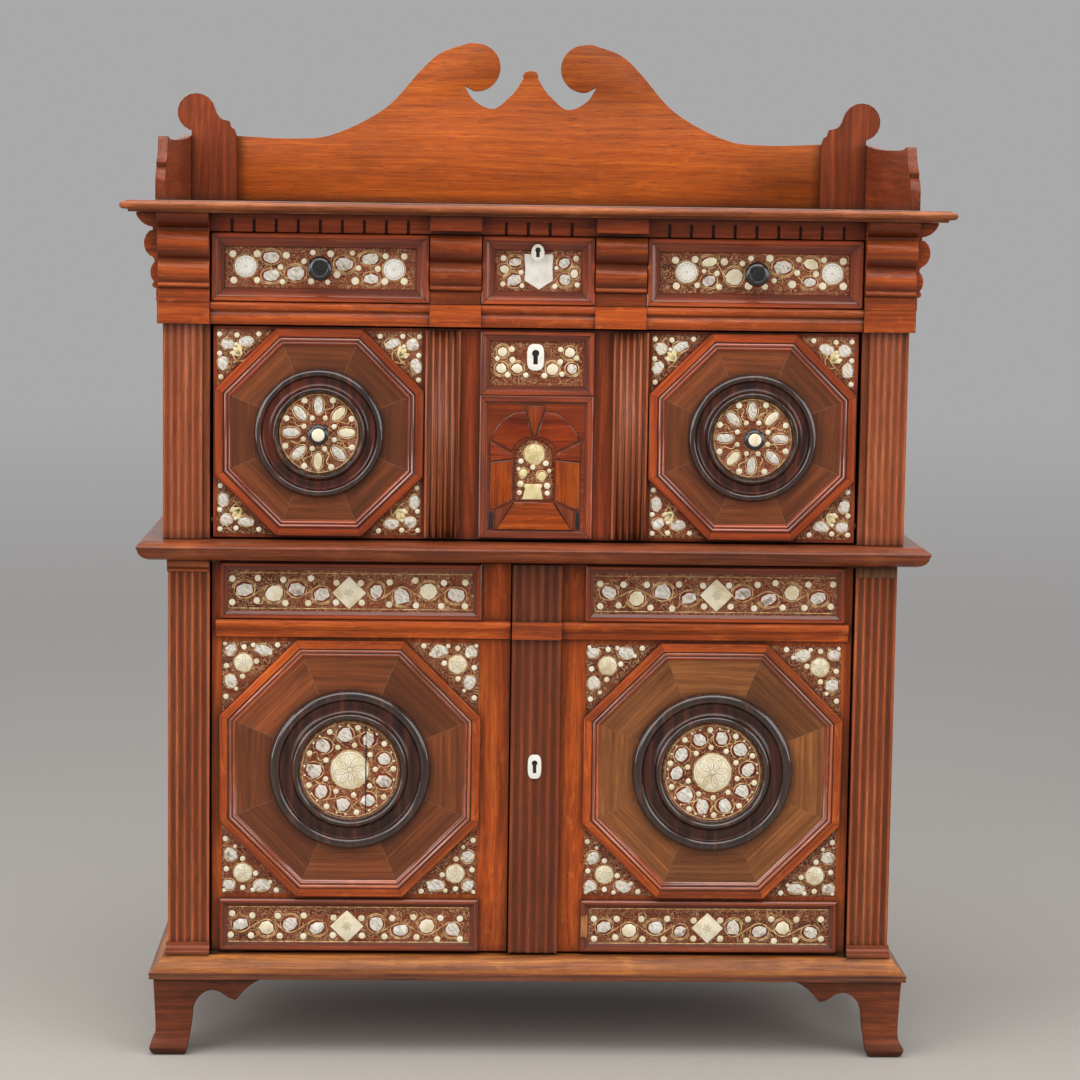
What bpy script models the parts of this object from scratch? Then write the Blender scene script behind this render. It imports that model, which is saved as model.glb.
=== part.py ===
# Secretaire chest: a two-part oak case with a scrolled gallery, a frieze drawer, a secretaire drawer
# behind a fall front, and a cupboard with two doors. Metres, +Z up, the front faces -Y.
import math

import bmesh
import bpy
from mathutils import Matrix, Vector

# Clearances
GAP = 0.0003  # between pieces that meet
DRAWER_GAP = 0.0015  # beside and above the drawer fronts
FALL_GAP = 0.003  # above and below the fall
DOOR_GAP = 0.003  # between a door and its pilaster
MEETING_GAP = 0.0024  # between the two doors

# Case
UPPER_WIDTH = 1.104  # across the sides of the upper case
CASE_SETBACK = 0.007  # lower case inside the upper one, at the front and on each side
BODY_DEPTH = 0.505  # from the back to the faces of the upper pilasters
SIDE_THICKNESS = 0.020
BACK_THICKNESS = 0.010
STILE_DEPTH = 0.024  # thickness of the pilaster boards

# Heights, from the floor up
FOOT_HEIGHT = 0.117
BASE_HEIGHT = 0.034
LOWER_HEIGHT = 0.600
WAIST_HEIGHT = 0.030
FALL_OPENING = 0.319
RAIL_HEIGHT = 0.033
FRIEZE_HEIGHT = 0.103
DENTIL_HEIGHT = 0.027
CORNICE_HEIGHT = 0.017

# Mouldings and pilasters
BASE_OVERHANG = 0.026
WAIST_OVERHANG = 0.037
CORNICE_OVERHANG = 0.058
FLUTE_COUNT = 5
FLUTE_DEPTH = 0.0022
FLUTE_CROWN = 0.03  # the outer flutes are cut a little deeper
UPPER_FLUTED = 0.058  # fluted part of an upper pilaster
UPPER_STRIP = 0.011  # sunk strip beside it
STRIP_SINK = 0.006
CAPITAL_HEIGHT = 0.018
PLINTH_HEIGHT = 0.017
PLINTH_STEP = 0.006

# Feet
FOOT_INSET = 0.008  # from the edge of the base to the face of the foot
FOOT_LEG = 0.056
FOOT_LENGTH = 0.160  # along the front
FOOT_SIDE_LENGTH = 0.130
FOOT_BOARD = 0.020
FOOT_TOE = 0.008

# Gallery
GALLERY_INSET = 0.0035  # inner faces of its side boards inside the sides of the case
GALLERY_BOARD = 0.0145
GALLERY_BACK = 0.018
GALLERY_SIDE_HEIGHT = 0.094
GALLERY_LOBE = 0.024  # unit of the waves on the front edges of the side boards
GALLERY_END_HEIGHT = 0.110  # back board at its ends
GALLERY_PEAK = 0.261  # back board at the top of its scrolls
EAR_WIDTH = 0.073
EAR_STEP = 0.012  # unit of the steps on its shoulder
EAR_HEAD = 0.0305  # radius of the round head
EAR_HEAD_HEIGHT = 0.142  # its centre above the cornice

# Frieze
CENTRE_WIDTH = 0.168  # middle panel of the frieze and of the fall
CORBEL_WIDTH = 0.076
CORBEL_STEP = 0.008  # base block in front of the pilasters
CORBEL_CAP = 0.038  # cap moulding under the cornice, in front of the pilasters
CORBEL_CAP_HEIGHT = 0.022
CORBEL_CAP_FILLET = 0.004
CORBEL_NECK = 0.014
DENTIL_BLOCK = 0.026  # block over a frieze corbel, in front of the pilasters
SIDE_CORBEL = 0.066  # length of the corbel on the side of the case
CORBEL_LAP = 0.006  # where the front and the side corbel meet at the corner
FRIEZE_BOARD = 0.018
FRIEZE_SINK = 0.010  # frieze board behind the pilaster faces
FRAME_HEIGHT = 0.013  # frieze frames in front of their board
FRAME_LAP = 0.004  # depth that an applied moulding is let into its board
RAIL_DEPTH = 0.060
RAIL_BEAD = 0.0035  # bow of its two rounds
RAIL_QUIRK = 0.003  # groove between them
DUST_BOARD = 0.012
DENTIL_SLOT = 0.0045
DENTIL_PITCH = 0.0323
DENTIL_BAND = 0.019
DENTIL_CUT = 0.006
KNOB_RADIUS = 0.0185
KNOB_LENGTH = 0.040
DRAWER_WALL = 0.010
FRIEZE_BOX_HEIGHT = 0.090
DRAWER_BACK_SPACE = 0.020  # free behind a closed drawer

# Secretaire drawer and fall
FALL_THICKNESS = 0.022
FALL_SINK = 0.010  # face of the fall behind the pilaster faces
FALL_AXIS_DEPTH = 0.004  # pivot behind the face of the fall
FALL_AXIS_HEIGHT = 0.028  # pivot above the waist board
FALL_FLUTED = 0.052
FALL_FLUTED_HEIGHT = 0.008
FALL_RELIEF = 0.010  # centre panels in front of the fall
FALL_EDGE = 0.0025  # plain edge below the applied panels
FALL_OCTAGON_HEIGHT = 0.011
ARCH_PANEL_HEIGHT = 0.213
NICHE_WIDTH = 0.059
NICHE_HEIGHT = 0.092
NICHE_SILL = 0.057  # above the foot of the arch panel
NICHE_FLOOR = 0.003  # wood left behind the niche
FALL_RING = 0.096
FALL_DISC = 0.060
FALL_KNOB_RADIUS = 0.016
FALL_KNOB_LENGTH = 0.034
PIVOT_PLATE = 0.003
PIVOT_PIN = 0.0025
PIN_CLEARANCE = 0.0003
PIN_SPACE = 0.001  # free beyond the end of a pin
PIVOT_NOSE = 0.0045
PIVOT_REACH = 0.060
PIVOT_HEIGHT = 0.018
PIVOT_TONGUE = 0.010  # length of the pin in the end of the fall
WELL_INSET = 0.0195  # side of the secretaire drawer inside the end of the fall
WELL_WALL = 0.012
WELL_FRONT = 0.027  # front edge of the drawer behind the pivot
WELL_HEIGHT = 0.306
STAY_RADIUS = 0.161
STAY_WIDTH = 0.010
STAY_THICKNESS = 0.003
STAY_SWEEP = 95.0  # degrees
PIGEON_COUNT = 6
PIGEON_DEPTH = 0.170
PIGEON_WALL = 0.008
PIGEON_HEIGHT = 0.250

# Doors
MEETING_X = -0.033  # the doors meet left of the middle
DOOR_SINK = 0.010  # face of the doors behind the pilaster faces
DOOR_THICKNESS = 0.022
DOOR_FOOT = 0.0036  # under the doors
DOOR_HEAD = 0.0045  # over the doors
PANEL_MARGIN = 0.012  # from a door's hinge edge to its panels
PANEL_INNER = 0.078  # inner edges of the panels from the middle of the chest
PANEL_HEIGHT = 0.080  # lower inlay panel
TOP_PANEL_HEIGHT = 0.086
LEDGE_HEIGHT = 0.027
LEDGE_RELIEF = 0.012
PANEL_RELIEF = 0.008
OCTAGON_GAP = 0.003
DOOR_OCTAGON_HEIGHT = 0.011
DOOR_RING = 0.121
DOOR_DISC = 0.074
RING_HEIGHT = 0.016
DISC_HEIGHT = 0.006
FIELD_HEIGHT = 0.005
OCTAGON_FRAME = 0.025
CENTRE_PILASTER_WIDTH = 0.074
CENTRE_PILASTER_DEPTH = 0.011
CENTRE_BLOCK = 0.004
HINGE_INSET = 0.0052  # door pin from the edge of the pilaster
HINGE_NOSE = 0.004
HINGE_PIN = 0.003
HINGE_PIN_LENGTH = 0.012
HINGE_PLATE = 0.003
HINGE_LENGTH = 0.045
HINGE_MARGIN = 0.001  # plate inside the edges of the door

# Sunk frames, from the outer edge in: (width of the step, rise of its inner edge)
FRIEZE_FRAME = [(0.005, 0.0), (0.004, -0.002), (0.006, -0.004), (0.0015, -0.003), (0.004, -0.0015)]
FALL_FRAME = [(0.004, 0.0), (0.005, -0.002), (0.006, -0.003), (0.001, -0.002)]
ARCH_FRAME = [(0.006, 0.0), (0.005, -0.003), (0.001, -0.001)]
DOOR_FRAME = [(0.003, 0.0), (0.003, -0.0015), (0.0045, -0.003), (0.001, -0.0015)]

# Locks
LOCK_WIDTH = 0.060
LOCK_HEIGHT = 0.040
LOCK_DEPTH = 0.012
LOCK_DROP = 0.006  # below the top edge of what it locks
DOOR_LOCK_Z = 0.430  # middle of the door lock above the floor
DOOR_LOCK_EDGE = 0.008

# Places worked out from the sizes
BACK_Y = (BODY_DEPTH + CORNICE_OVERHANG) / 2
FRONT_Y = BACK_Y - BODY_DEPTH
LOWER_Y = FRONT_Y + CASE_SETBACK
BASE_Z = FOOT_HEIGHT
LOWER_Z = BASE_Z + BASE_HEIGHT
WAIST_Z = LOWER_Z + LOWER_HEIGHT
UPPER_Z = WAIST_Z + WAIST_HEIGHT
RAIL_Z = UPPER_Z + FALL_OPENING
FRIEZE_Z = RAIL_Z + RAIL_HEIGHT
DENTIL_Z = FRIEZE_Z + FRIEZE_HEIGHT
CORNICE_Z = DENTIL_Z + DENTIL_HEIGHT
TOP_Z = CORNICE_Z + CORNICE_HEIGHT
UPPER_X = UPPER_WIDTH / 2
LOWER_X = UPPER_X - CASE_SETBACK
OPENING_X = UPPER_X - UPPER_FLUTED - UPPER_STRIP
GALLERY_X = UPPER_X - GALLERY_INSET
CENTRE_X = CENTRE_WIDTH / 2
INNER_BACK_Y = BACK_Y - BACK_THICKNESS
OCTANT = math.pi / 8
SIDES = (("left", -1), ("right", 1))
PLANES = {
    "front": (math.pi / 2, 0.0, 0.0),
    "plan": (0.0, 0.0, 0.0),
    "side": (math.pi / 2, 0.0, math.pi / 2),
}


for leftover in list(bpy.data.objects):
    bpy.data.objects.remove(leftover)


def make_collection(name):
    group = bpy.data.collections.new(name)
    bpy.context.scene.collection.children.link(group)
    return group


CHEST = make_collection("secretaire_chest")
CUTTERS = make_collection("secretaire_chest_cutters")


def make_finish(name, colour, roughness, metallic=0.0):
    finish = bpy.data.materials.new(name)
    finish.use_nodes = True
    shader = finish.node_tree.nodes["Principled BSDF"]
    shader.inputs["Base Color"].default_value = (*colour, 1.0)
    shader.inputs["Roughness"].default_value = roughness
    shader.inputs["Metallic"].default_value = metallic
    finish.diffuse_color = (*colour, 1.0)
    return finish


OAK = make_finish("oak", (0.25, 0.085, 0.030), 0.42)
OAK_DARK = make_finish("oak_dark", (0.13, 0.042, 0.022), 0.42)
OAK_GOLD = make_finish("oak_gold", (0.34, 0.120, 0.030), 0.40)
OAK_INSIDE = make_finish("oak_inside", (0.30, 0.170, 0.080), 0.60)
FIELD_WOOD = make_finish("field_wood", (0.15, 0.060, 0.026), 0.45)
EBONY = make_finish("ebony", (0.020, 0.015, 0.014), 0.28)
BRASS = make_finish("brass", (0.60, 0.42, 0.16), 0.35, 1.0)
IRON = make_finish("iron", (0.12, 0.11, 0.10), 0.50, 1.0)


def carrier(name, place, parent=None):
    empty = bpy.data.objects.new(name, None)
    CHEST.objects.link(empty)
    empty.location = place
    if parent:
        hang(empty, parent)
    return empty


def hang(obj, parent):
    obj.parent = parent
    obj.matrix_parent_inverse = Matrix.Translation(-parent.location)


def register(obj, finish, parent=None):
    obj.data.materials.append(finish)
    if parent:
        hang(obj, parent)
    return obj


def from_bmesh(name, bm, place=(0.0, 0.0, 0.0)):
    bmesh.ops.recalc_face_normals(bm, faces=bm.faces)
    mesh = bpy.data.meshes.new(name)
    bm.to_mesh(mesh)
    bm.free()
    obj = bpy.data.objects.new(name, mesh)
    obj.location = place
    CHEST.objects.link(obj)
    return obj


def span(side, inner, outer):
    return tuple(sorted((side * inner, side * outer)))


# A board cut square, from its (low, high) pair on each axis
def block(name, x, y, z):
    centre = [(low + high) / 2 for low, high in (x, y, z)]
    size = [high - low for low, high in (x, y, z)]
    bm = bmesh.new()
    bmesh.ops.create_cube(bm, size=1.0, matrix=Matrix.Diagonal((*size, 1.0)))
    return from_bmesh(name, bm, centre)


# A board sawn to an outline in the front, plan or side plane, between two places across that plane
def sawn(name, outline, plane, low, high):
    curve = bpy.data.curves.new(name, "CURVE")
    curve.dimensions = "2D"
    curve.fill_mode = "BOTH"
    curve.extrude = (high - low) / 2
    spline = curve.splines.new("POLY")
    spline.points.add(len(outline) - 1)
    for point, (across, up) in zip(spline.points, outline):
        point.co = (across, up, 0.0, 1.0)
    spline.use_cyclic_u = True
    guide = bpy.data.objects.new(name, curve)
    CHEST.objects.link(guide)
    guide.rotation_euler = PLANES[plane]
    middle = (low + high) / 2
    guide.location = {"front": (0, middle, 0), "plan": (0, 0, middle), "side": (middle, 0, 0)}[plane]
    bpy.context.view_layer.update()
    flat = bpy.data.meshes.new_from_object(guide.evaluated_get(bpy.context.evaluated_depsgraph_get()))
    bm = bmesh.new()
    bm.from_mesh(flat)
    bmesh.ops.remove_doubles(bm, verts=bm.verts, dist=0.00001)
    bmesh.ops.dissolve_limit(bm, angle_limit=math.radians(0.1), verts=bm.verts, edges=bm.edges)
    board = from_bmesh(name, bm)
    board.matrix_world = guide.matrix_world
    bpy.data.objects.remove(guide)
    bpy.data.curves.remove(curve)
    bpy.data.meshes.remove(flat)
    board.name = name
    return board


# A solid turned about its own Z axis, from (radius, height) pairs that run from the top down
def turned(name, profile, steps, phase=0.0):
    points = [(radius * math.cos(phase), radius * math.sin(phase), height) for radius, height in profile]
    mesh = bpy.data.meshes.new(name)
    mesh.from_pydata(points, [(i, i + 1) for i in range(len(points) - 1)], [])
    obj = bpy.data.objects.new(name, mesh)
    CHEST.objects.link(obj)
    lathe = obj.modifiers.new("lathe", "SCREW")
    lathe.angle = 2 * math.pi
    lathe.steps = steps
    lathe.render_steps = steps
    lathe.use_merge_vertices = True
    lathe.merge_threshold = 0.00001
    return obj


# A panel whose front face is drawn in step by step: (width of the step, rise of its inner edge)
def framed(name, x, z, front, back, steps):
    obj_place = ((x[0] + x[1]) / 2, (front + back) / 2, (z[0] + z[1]) / 2)
    size = (x[1] - x[0], back - front, z[1] - z[0], 1.0)
    bm = bmesh.new()
    bmesh.ops.create_cube(bm, size=1.0, matrix=Matrix.Diagonal(size))
    face = min(bm.faces, key=lambda candidate: candidate.calc_center_median().y)
    for width, rise in steps:
        bmesh.ops.inset_region(bm, faces=[face], thickness=width, depth=rise, use_even_offset=True)
    return from_bmesh(name, bm, obj_place)


# A stack of rectangles, each given by its overhang and height; keep is 1 on each moulded side, else 0
def moulded(name, x, y, foot, edge, keep):
    left, right, front, back = keep

    def shape(face_verts, overhang, height):
        for vert in face_verts:
            vert.co.x = x[1] + right * overhang if vert.co.x > 0 else x[0] - left * overhang
            vert.co.y = y[1] + back * overhang if vert.co.y > 0 else y[0] - front * overhang
            vert.co.z = foot + height
        for vert in face_verts:
            vert.co -= middle

    middle = Vector(((x[0] + x[1]) / 2, (y[0] + y[1]) / 2, 0.0))
    bm = bmesh.new()
    bmesh.ops.create_cube(bm, size=1.0)
    top = max(bm.faces, key=lambda candidate: candidate.calc_center_median().z)
    bottom = min(bm.faces, key=lambda candidate: candidate.calc_center_median().z)
    shape(bottom.verts, *edge[0])
    shape(top.verts, *edge[1])
    for overhang, height in edge[2:]:
        grown = bmesh.ops.extrude_face_region(bm, geom=[top])
        bmesh.ops.delete(bm, geom=[top], context="FACES_ONLY")
        top = next(item for item in grown["geom"] if isinstance(item, bmesh.types.BMFace))
        shape(top.verts, overhang, height)
    return from_bmesh(name, bm, middle)


def combine(target, other, operation):
    modifier = target.modifiers.new(other.name, "BOOLEAN")
    modifier.operation = operation
    modifier.solver = "EXACT"
    modifier.object = other
    CHEST.objects.unlink(other)
    CUTTERS.objects.link(other)
    other.hide_render = True
    other.display_type = "WIRE"


def join(target, *others):
    for other in others:
        combine(target, other, "UNION")


def cut(target, *others):
    for other in others:
        combine(target, other, "DIFFERENCE")


def drill(name, radius, centre, length, axis):
    bm = bmesh.new()
    bmesh.ops.create_cone(
        bm, cap_ends=True, segments=16, radius1=radius, radius2=radius, depth=length
    )
    rod = from_bmesh(name, bm, centre)
    rod.rotation_euler = {"x": (0.0, math.pi / 2, 0.0), "z": (0.0, 0.0, 0.0)}[axis]
    return rod


# Points after start on the arc to end that bows out by bow, to the right of the way from start to end
def arc(start, end, bow, steps=5):
    chord = Vector(end) - Vector(start)
    half = chord.length / 2
    radius = (half * half + bow * bow) / (2 * abs(bow))
    turn = math.copysign(2 * math.asin(min(1.0, half / radius)), bow)
    normal = Vector((chord.y, -chord.x)).normalized()
    centre = (Vector(start) + Vector(end)) / 2 + normal * (bow - math.copysign(radius, bow))
    spoke = Vector(start) - centre
    return [tuple(centre + Matrix.Rotation(turn * i / steps, 2) @ spoke) for i in range(1, steps + 1)]


# A smooth line through a few points, as a flexible batten would lie
def batten(points, steps=4):
    ends = [2 * Vector(points[0]) - Vector(points[1]), 2 * Vector(points[-1]) - Vector(points[-2])]
    knots = [ends[0], *map(Vector, points), ends[1]]
    line = [tuple(points[0])]
    for a, b, c, d in zip(knots, knots[1:], knots[2:], knots[3:]):
        for i in range(1, steps + 1):
            t = i / steps
            line.append(
                tuple(0.5 * (2 * b + (c - a) * t + (2 * a - 5 * b + 4 * c - d) * t * t
                             + (3 * b - a - 3 * c + d) * t ** 3))
            )
    return line


# Plan outline of a board with flutes in its front face
def fluted_plan(x, front, back, strip=0.0, strip_side=0):
    low, high = x
    fluted_low = low + strip if strip_side < 0 else low
    fluted_high = high - strip if strip_side > 0 else high
    pitch = (fluted_high - fluted_low) / (FLUTE_COUNT + 0.4)
    half = pitch * 0.40
    outline = [(low, back), (high, back)]
    if strip_side > 0:
        outline += [(high, front + STRIP_SINK), (fluted_high, front + STRIP_SINK)]
    outline.append((fluted_high, front))
    for number in range(FLUTE_COUNT):
        centre = fluted_high - pitch * (number + 0.7)
        depth = FLUTE_DEPTH * (1 + FLUTE_CROWN * (number - (FLUTE_COUNT - 1) / 2) ** 2)
        for step in range(5):
            angle = math.pi * step / 4
            outline.append((centre + half * math.cos(angle), front + depth * math.sin(angle)))
    outline.append((fluted_low, front))
    if strip_side < 0:
        outline += [(fluted_low, front + STRIP_SINK), (low, front + STRIP_SINK)]
    return outline


# Corbel profile as (projection, height) from its top down, for the height of the frieze
def corbel_profile(height):
    top = [(0.018, height)]
    top += arc(top[-1], (0.018, height * 0.64), -0.009)
    top += arc(top[-1], (0.011, height * 0.56), 0.002, 3)
    top += arc(top[-1], (0.012, height * 0.27), -0.006)
    top += arc(top[-1], (0.012, height * 0.19), -0.003, 4)
    top += [(0.009, height * 0.18), (0.009, 0.0)]
    return top


def base_edge():
    fillet = [(0.95, 0.0), (1.0, 0.10), (1.0, 0.22), (0.95, 0.31), (0.86, 0.33)]
    ogee = []
    for t in (0.25, 0.5, 0.75, 1.0):
        ogee.append((0.86 - 0.60 * t, 0.33 + 0.67 * (t + 0.10 * math.sin(2 * math.pi * t))))
    return [(BASE_OVERHANG * out, BASE_HEIGHT * up) for out, up in fillet + ogee]


def waist_edge():
    angles = [math.pi / 2 * step / 5 for step in range(6)]
    nosing = [(0.30 + 0.65 * math.sin(a), 0.58 * (1 - math.cos(a))) for a in angles]
    cap = [(0.97, 0.60), (1.0, 0.68), (0.97, 0.76), (0.70, 1.0)]
    return [(WAIST_OVERHANG * out, WAIST_HEIGHT * up) for out, up in nosing + cap]


def cornice_edge():
    round_radius = CORNICE_HEIGHT * 0.33
    middle = CORNICE_HEIGHT * 0.57
    inner = CORNICE_OVERHANG - round_radius
    edge = [(inner - 0.006, 0.0), (inner - 0.006, CORNICE_HEIGHT * 0.20)]
    for step in range(7):
        angle = math.pi * (step / 6 - 0.5)
        edge.append((inner + round_radius * math.cos(angle), middle + round_radius * math.sin(angle)))
    edge += [(inner - 0.003, CORNICE_HEIGHT * 0.92), (inner - 0.003, CORNICE_HEIGHT)]
    return edge


# Joint axes of the moving parts
FALL_FACE_Y = FRONT_Y + FALL_SINK
FALL_AXIS = (0.0, FALL_FACE_Y + FALL_AXIS_DEPTH, UPPER_Z + FALL_AXIS_HEIGHT)
HINGE_X = OPENING_X - HINGE_INSET
FRIEZE_DRAWER = carrier("frieze_drawer", (0.0, FRONT_Y, FRIEZE_Z))
SECRETAIRE_DRAWER = carrier("secretaire_drawer", (0.0, FRONT_Y, UPPER_Z))
FALL = carrier("fall", FALL_AXIS, SECRETAIRE_DRAWER)
DOORS = {
    "left": carrier("left_door_hinge", (-HINGE_X, LOWER_Y, LOWER_Z)),
    "right": carrier("right_door_hinge", (HINGE_X, LOWER_Y, LOWER_Z)),
}


# Feet: a leg with a splayed toe, and a shaped bracket along the front and the side
def bracket_outline(length):
    height = FOOT_HEIGHT - GAP
    reach = length - FOOT_LEG
    arch_u = FOOT_LEG + reach * 0.30
    pendant_u = FOOT_LEG + reach * 0.63
    outline = [(FOOT_LEG / 2, height), (FOOT_LEG / 2, height * 0.50), (FOOT_LEG, height * 0.50)]
    for step in range(1, 6):
        angle = math.pi / 2 * step / 5
        drop = (arch_u - FOOT_LEG) * math.cos(angle)
        outline.append((arch_u - drop, height * (0.50 + 0.355 * math.sin(angle))))
    for step in range(1, 5):
        fall = (1 - math.cos(math.pi * step / 4)) / 2
        outline.append((arch_u + (pendant_u - arch_u) * step / 4, height * (0.855 - 0.135 * fall)))
    outline += arc(outline[-1], (length, height), -0.004, 4)
    return outline


def build_foot(name, side, corner_y, facing):
    corner_x = side * (LOWER_X + BASE_OVERHANG - FOOT_INSET)
    toe = [(0.0, 0.0), (0.6, 0.03), (1.0, 0.10), (0.7, 0.17), (-0.2, 0.28), (-0.35, 0.45), (0.0, 1.0)]
    height = FOOT_HEIGHT - GAP
    edge = [(FOOT_TOE * out, height * up) for out, up in toe]
    x = span(side, abs(corner_x) - FOOT_LEG, abs(corner_x))
    y = tuple(sorted((corner_y, corner_y + facing * FOOT_LEG)))
    keep = (side < 0, side > 0, facing > 0, False)
    leg = moulded(name, x, y, 0.0, edge, keep)
    inner = abs(corner_x) - FOOT_BOARD
    outline = [(corner_y + facing * u, z) for u, z in bracket_outline(FOOT_SIDE_LENGTH)]
    low, high = span(side, inner, abs(corner_x) - GAP)
    join(leg, sawn(name + "_side_bracket", outline, "side", low, high))
    if facing > 0:
        outline = [(corner_x - side * u, z) for u, z in bracket_outline(FOOT_LENGTH)]
        join(leg, sawn(name + "_front_bracket", outline, "front", corner_y + GAP, corner_y + FOOT_BOARD))
    register(leg, OAK)


for side_name, side in SIDES:
    build_foot("foot_front_" + side_name, side, LOWER_Y - BASE_OVERHANG + FOOT_INSET, 1)
    build_foot("foot_back_" + side_name, side, BACK_Y - GAP, -1)


# Boards that run right through the case, moulded on the front and both ends
def through_board(name, half_width, front, foot, edge, finish):
    lifted = [(overhang, height + GAP / 2 if height == 0 else height - GAP / 2 * (height == edge[-1][1]))
              for overhang, height in edge]
    board = moulded(name, (-half_width, half_width), (front, BACK_Y), foot, lifted, (1, 1, 1, 0))
    return register(board, finish)


base_board = through_board("base_board", LOWER_X, LOWER_Y, BASE_Z, base_edge(), OAK_GOLD)
waist_board = through_board("waist_board", UPPER_X, FRONT_Y, WAIST_Z, waist_edge(), OAK)
through_board("cornice_board", UPPER_X, FRONT_Y, CORNICE_Z, cornice_edge(), OAK)


# Lower and upper case sides and backs
def build_case(name, half_width, front, low, high):
    z = (low + GAP, high - GAP)
    for side_name, side in SIDES:
        x = span(side, half_width - SIDE_THICKNESS, half_width)
        panel = block(name + "_side_" + side_name, x, (front + STILE_DEPTH + GAP, BACK_Y), z)
        register(panel, OAK)
    inner = half_width - SIDE_THICKNESS - GAP
    register(block(name + "_back", (-inner, inner), (INNER_BACK_Y, BACK_Y), z), OAK_INSIDE)


build_case("lower", LOWER_X, LOWER_Y, LOWER_Z, WAIST_Z)
build_case("upper", UPPER_X, FRONT_Y, UPPER_Z, CORNICE_Z)


# Pilasters: fluted boards over the front edges of the case sides
def build_lower_pilaster(side_name, side):
    name = "lower_pilaster_" + side_name
    x = span(side, OPENING_X, LOWER_X)
    shaft = sawn(name, fluted_plan(x, LOWER_Y, LOWER_Y + STILE_DEPTH), "plan", LOWER_Z + GAP, WAIST_Z - GAP)
    applied = span(side, OPENING_X + GAP, LOWER_X - GAP)
    foot = LOWER_Z + 2 * GAP
    plinth = [(LOWER_Y + STILE_DEPTH / 2, foot), (LOWER_Y - PLINTH_STEP, foot)]
    plinth += arc(plinth[-1], (LOWER_Y - PLINTH_STEP, foot + PLINTH_HEIGHT * 0.5), -0.002, 4)
    plinth += [(LOWER_Y - GAP, foot + PLINTH_HEIGHT), (LOWER_Y + STILE_DEPTH / 2, foot + PLINTH_HEIGHT)]
    join(shaft, sawn(name + "_plinth", plinth, "side", *applied))
    # the right capital is lost on the chest in the photograph
    if side < 0:
        head = WAIST_Z - 2 * GAP
        capital = [
            (LOWER_Y + STILE_DEPTH / 2, head),
            (LOWER_Y - PLINTH_STEP / 2, head),
            (LOWER_Y - PLINTH_STEP / 2, head - CAPITAL_HEIGHT * 0.5),
            (LOWER_Y - PLINTH_STEP / 4, head - CAPITAL_HEIGHT * 0.6),
            (LOWER_Y - PLINTH_STEP / 4, head - CAPITAL_HEIGHT),
            (LOWER_Y + STILE_DEPTH / 2, head - CAPITAL_HEIGHT),
        ]
        join(shaft, sawn(name + "_capital", capital, "side", *applied))
    register(shaft, OAK_DARK)


for side_name, side in SIDES:
    build_lower_pilaster(side_name, side)
    upper_plan = fluted_plan(
        span(side, OPENING_X, UPPER_X),
        FRONT_Y,
        FRONT_Y + STILE_DEPTH,
        UPPER_STRIP,
        -side,
    )
    stile = sawn("upper_pilaster_" + side_name, upper_plan, "plan", UPPER_Z + GAP, CORNICE_Z - GAP)
    register(stile, OAK_DARK)


# Corner corbels: base block, scrolled corbel and top block, on the front and round on the side
def corner_profile():
    profile = [(CORBEL_CAP, CORNICE_Z - GAP), (CORBEL_CAP, CORNICE_Z - CORBEL_CAP_FILLET)]
    profile += arc(profile[-1], (CORBEL_NECK, CORNICE_Z - CORBEL_CAP_HEIGHT), -CORBEL_CAP_FILLET)
    profile += [(CORBEL_NECK, DENTIL_Z)]
    profile += [(out, FRIEZE_Z + up) for out, up in corbel_profile(FRIEZE_HEIGHT)]
    profile += [(CORBEL_STEP, FRIEZE_Z), (CORBEL_STEP, RAIL_Z)]
    return profile


for side_name, side in SIDES:
    name = "corner_corbel_" + side_name
    front_face = FRONT_Y - GAP
    outline = [(front_face, CORNICE_Z - GAP)]
    outline += [(front_face - out, z) for out, z in corner_profile()] + [(front_face, RAIL_Z)]
    corbel = sawn(name, outline, "side", *span(side, OPENING_X, UPPER_X + CORBEL_LAP))
    side_face = UPPER_X + GAP
    outline = [(side * side_face, CORNICE_Z - GAP)]
    outline += [(side * (side_face + out), z) for out, z in corner_profile()] + [(side * side_face, RAIL_Z)]
    join(corbel, sawn(name + "_return", outline, "front", front_face - CORBEL_LAP, FRONT_Y + SIDE_CORBEL))
    register(corbel, OAK)


# Rail between the fall and the frieze drawer, with the dust board that the drawer runs on
def build_rail():
    face = FRONT_Y - RAIL_QUIRK
    sunk = FRONT_Y
    top = FRIEZE_Z - GAP
    bead = top - RAIL_HEIGHT * 0.36
    outline = [(FRONT_Y + RAIL_DEPTH, top), (face, top)]
    outline += arc(outline[-1], (face, bead), RAIL_BEAD)
    outline += [(sunk, bead), (sunk, bead - RAIL_QUIRK)]
    outline += arc(outline[-1], (sunk, RAIL_Z), RAIL_BEAD)
    outline += [(FRONT_Y + RAIL_DEPTH, RAIL_Z)]
    reach = OPENING_X - GAP
    rail = sawn("frieze_rail", outline, "side", -reach, reach)
    inner = UPPER_X - SIDE_THICKNESS - GAP
    dust = (top - DUST_BOARD, top - GAP)
    start = FRONT_Y + RAIL_DEPTH - FRAME_LAP
    join(rail, block("dust_board", (-inner, inner), (start, INNER_BACK_Y - GAP), dust))
    for side_name, side in SIDES:
        x = span(side, CENTRE_X + GAP, CENTRE_X + CORBEL_WIDTH)
        y = (FRONT_Y - CORBEL_STEP, FRONT_Y + RAIL_DEPTH / 2)
        join(rail, block("rail_block_" + side_name, x, y, (RAIL_Z + GAP, top - GAP)))
    register(rail, OAK)


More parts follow.
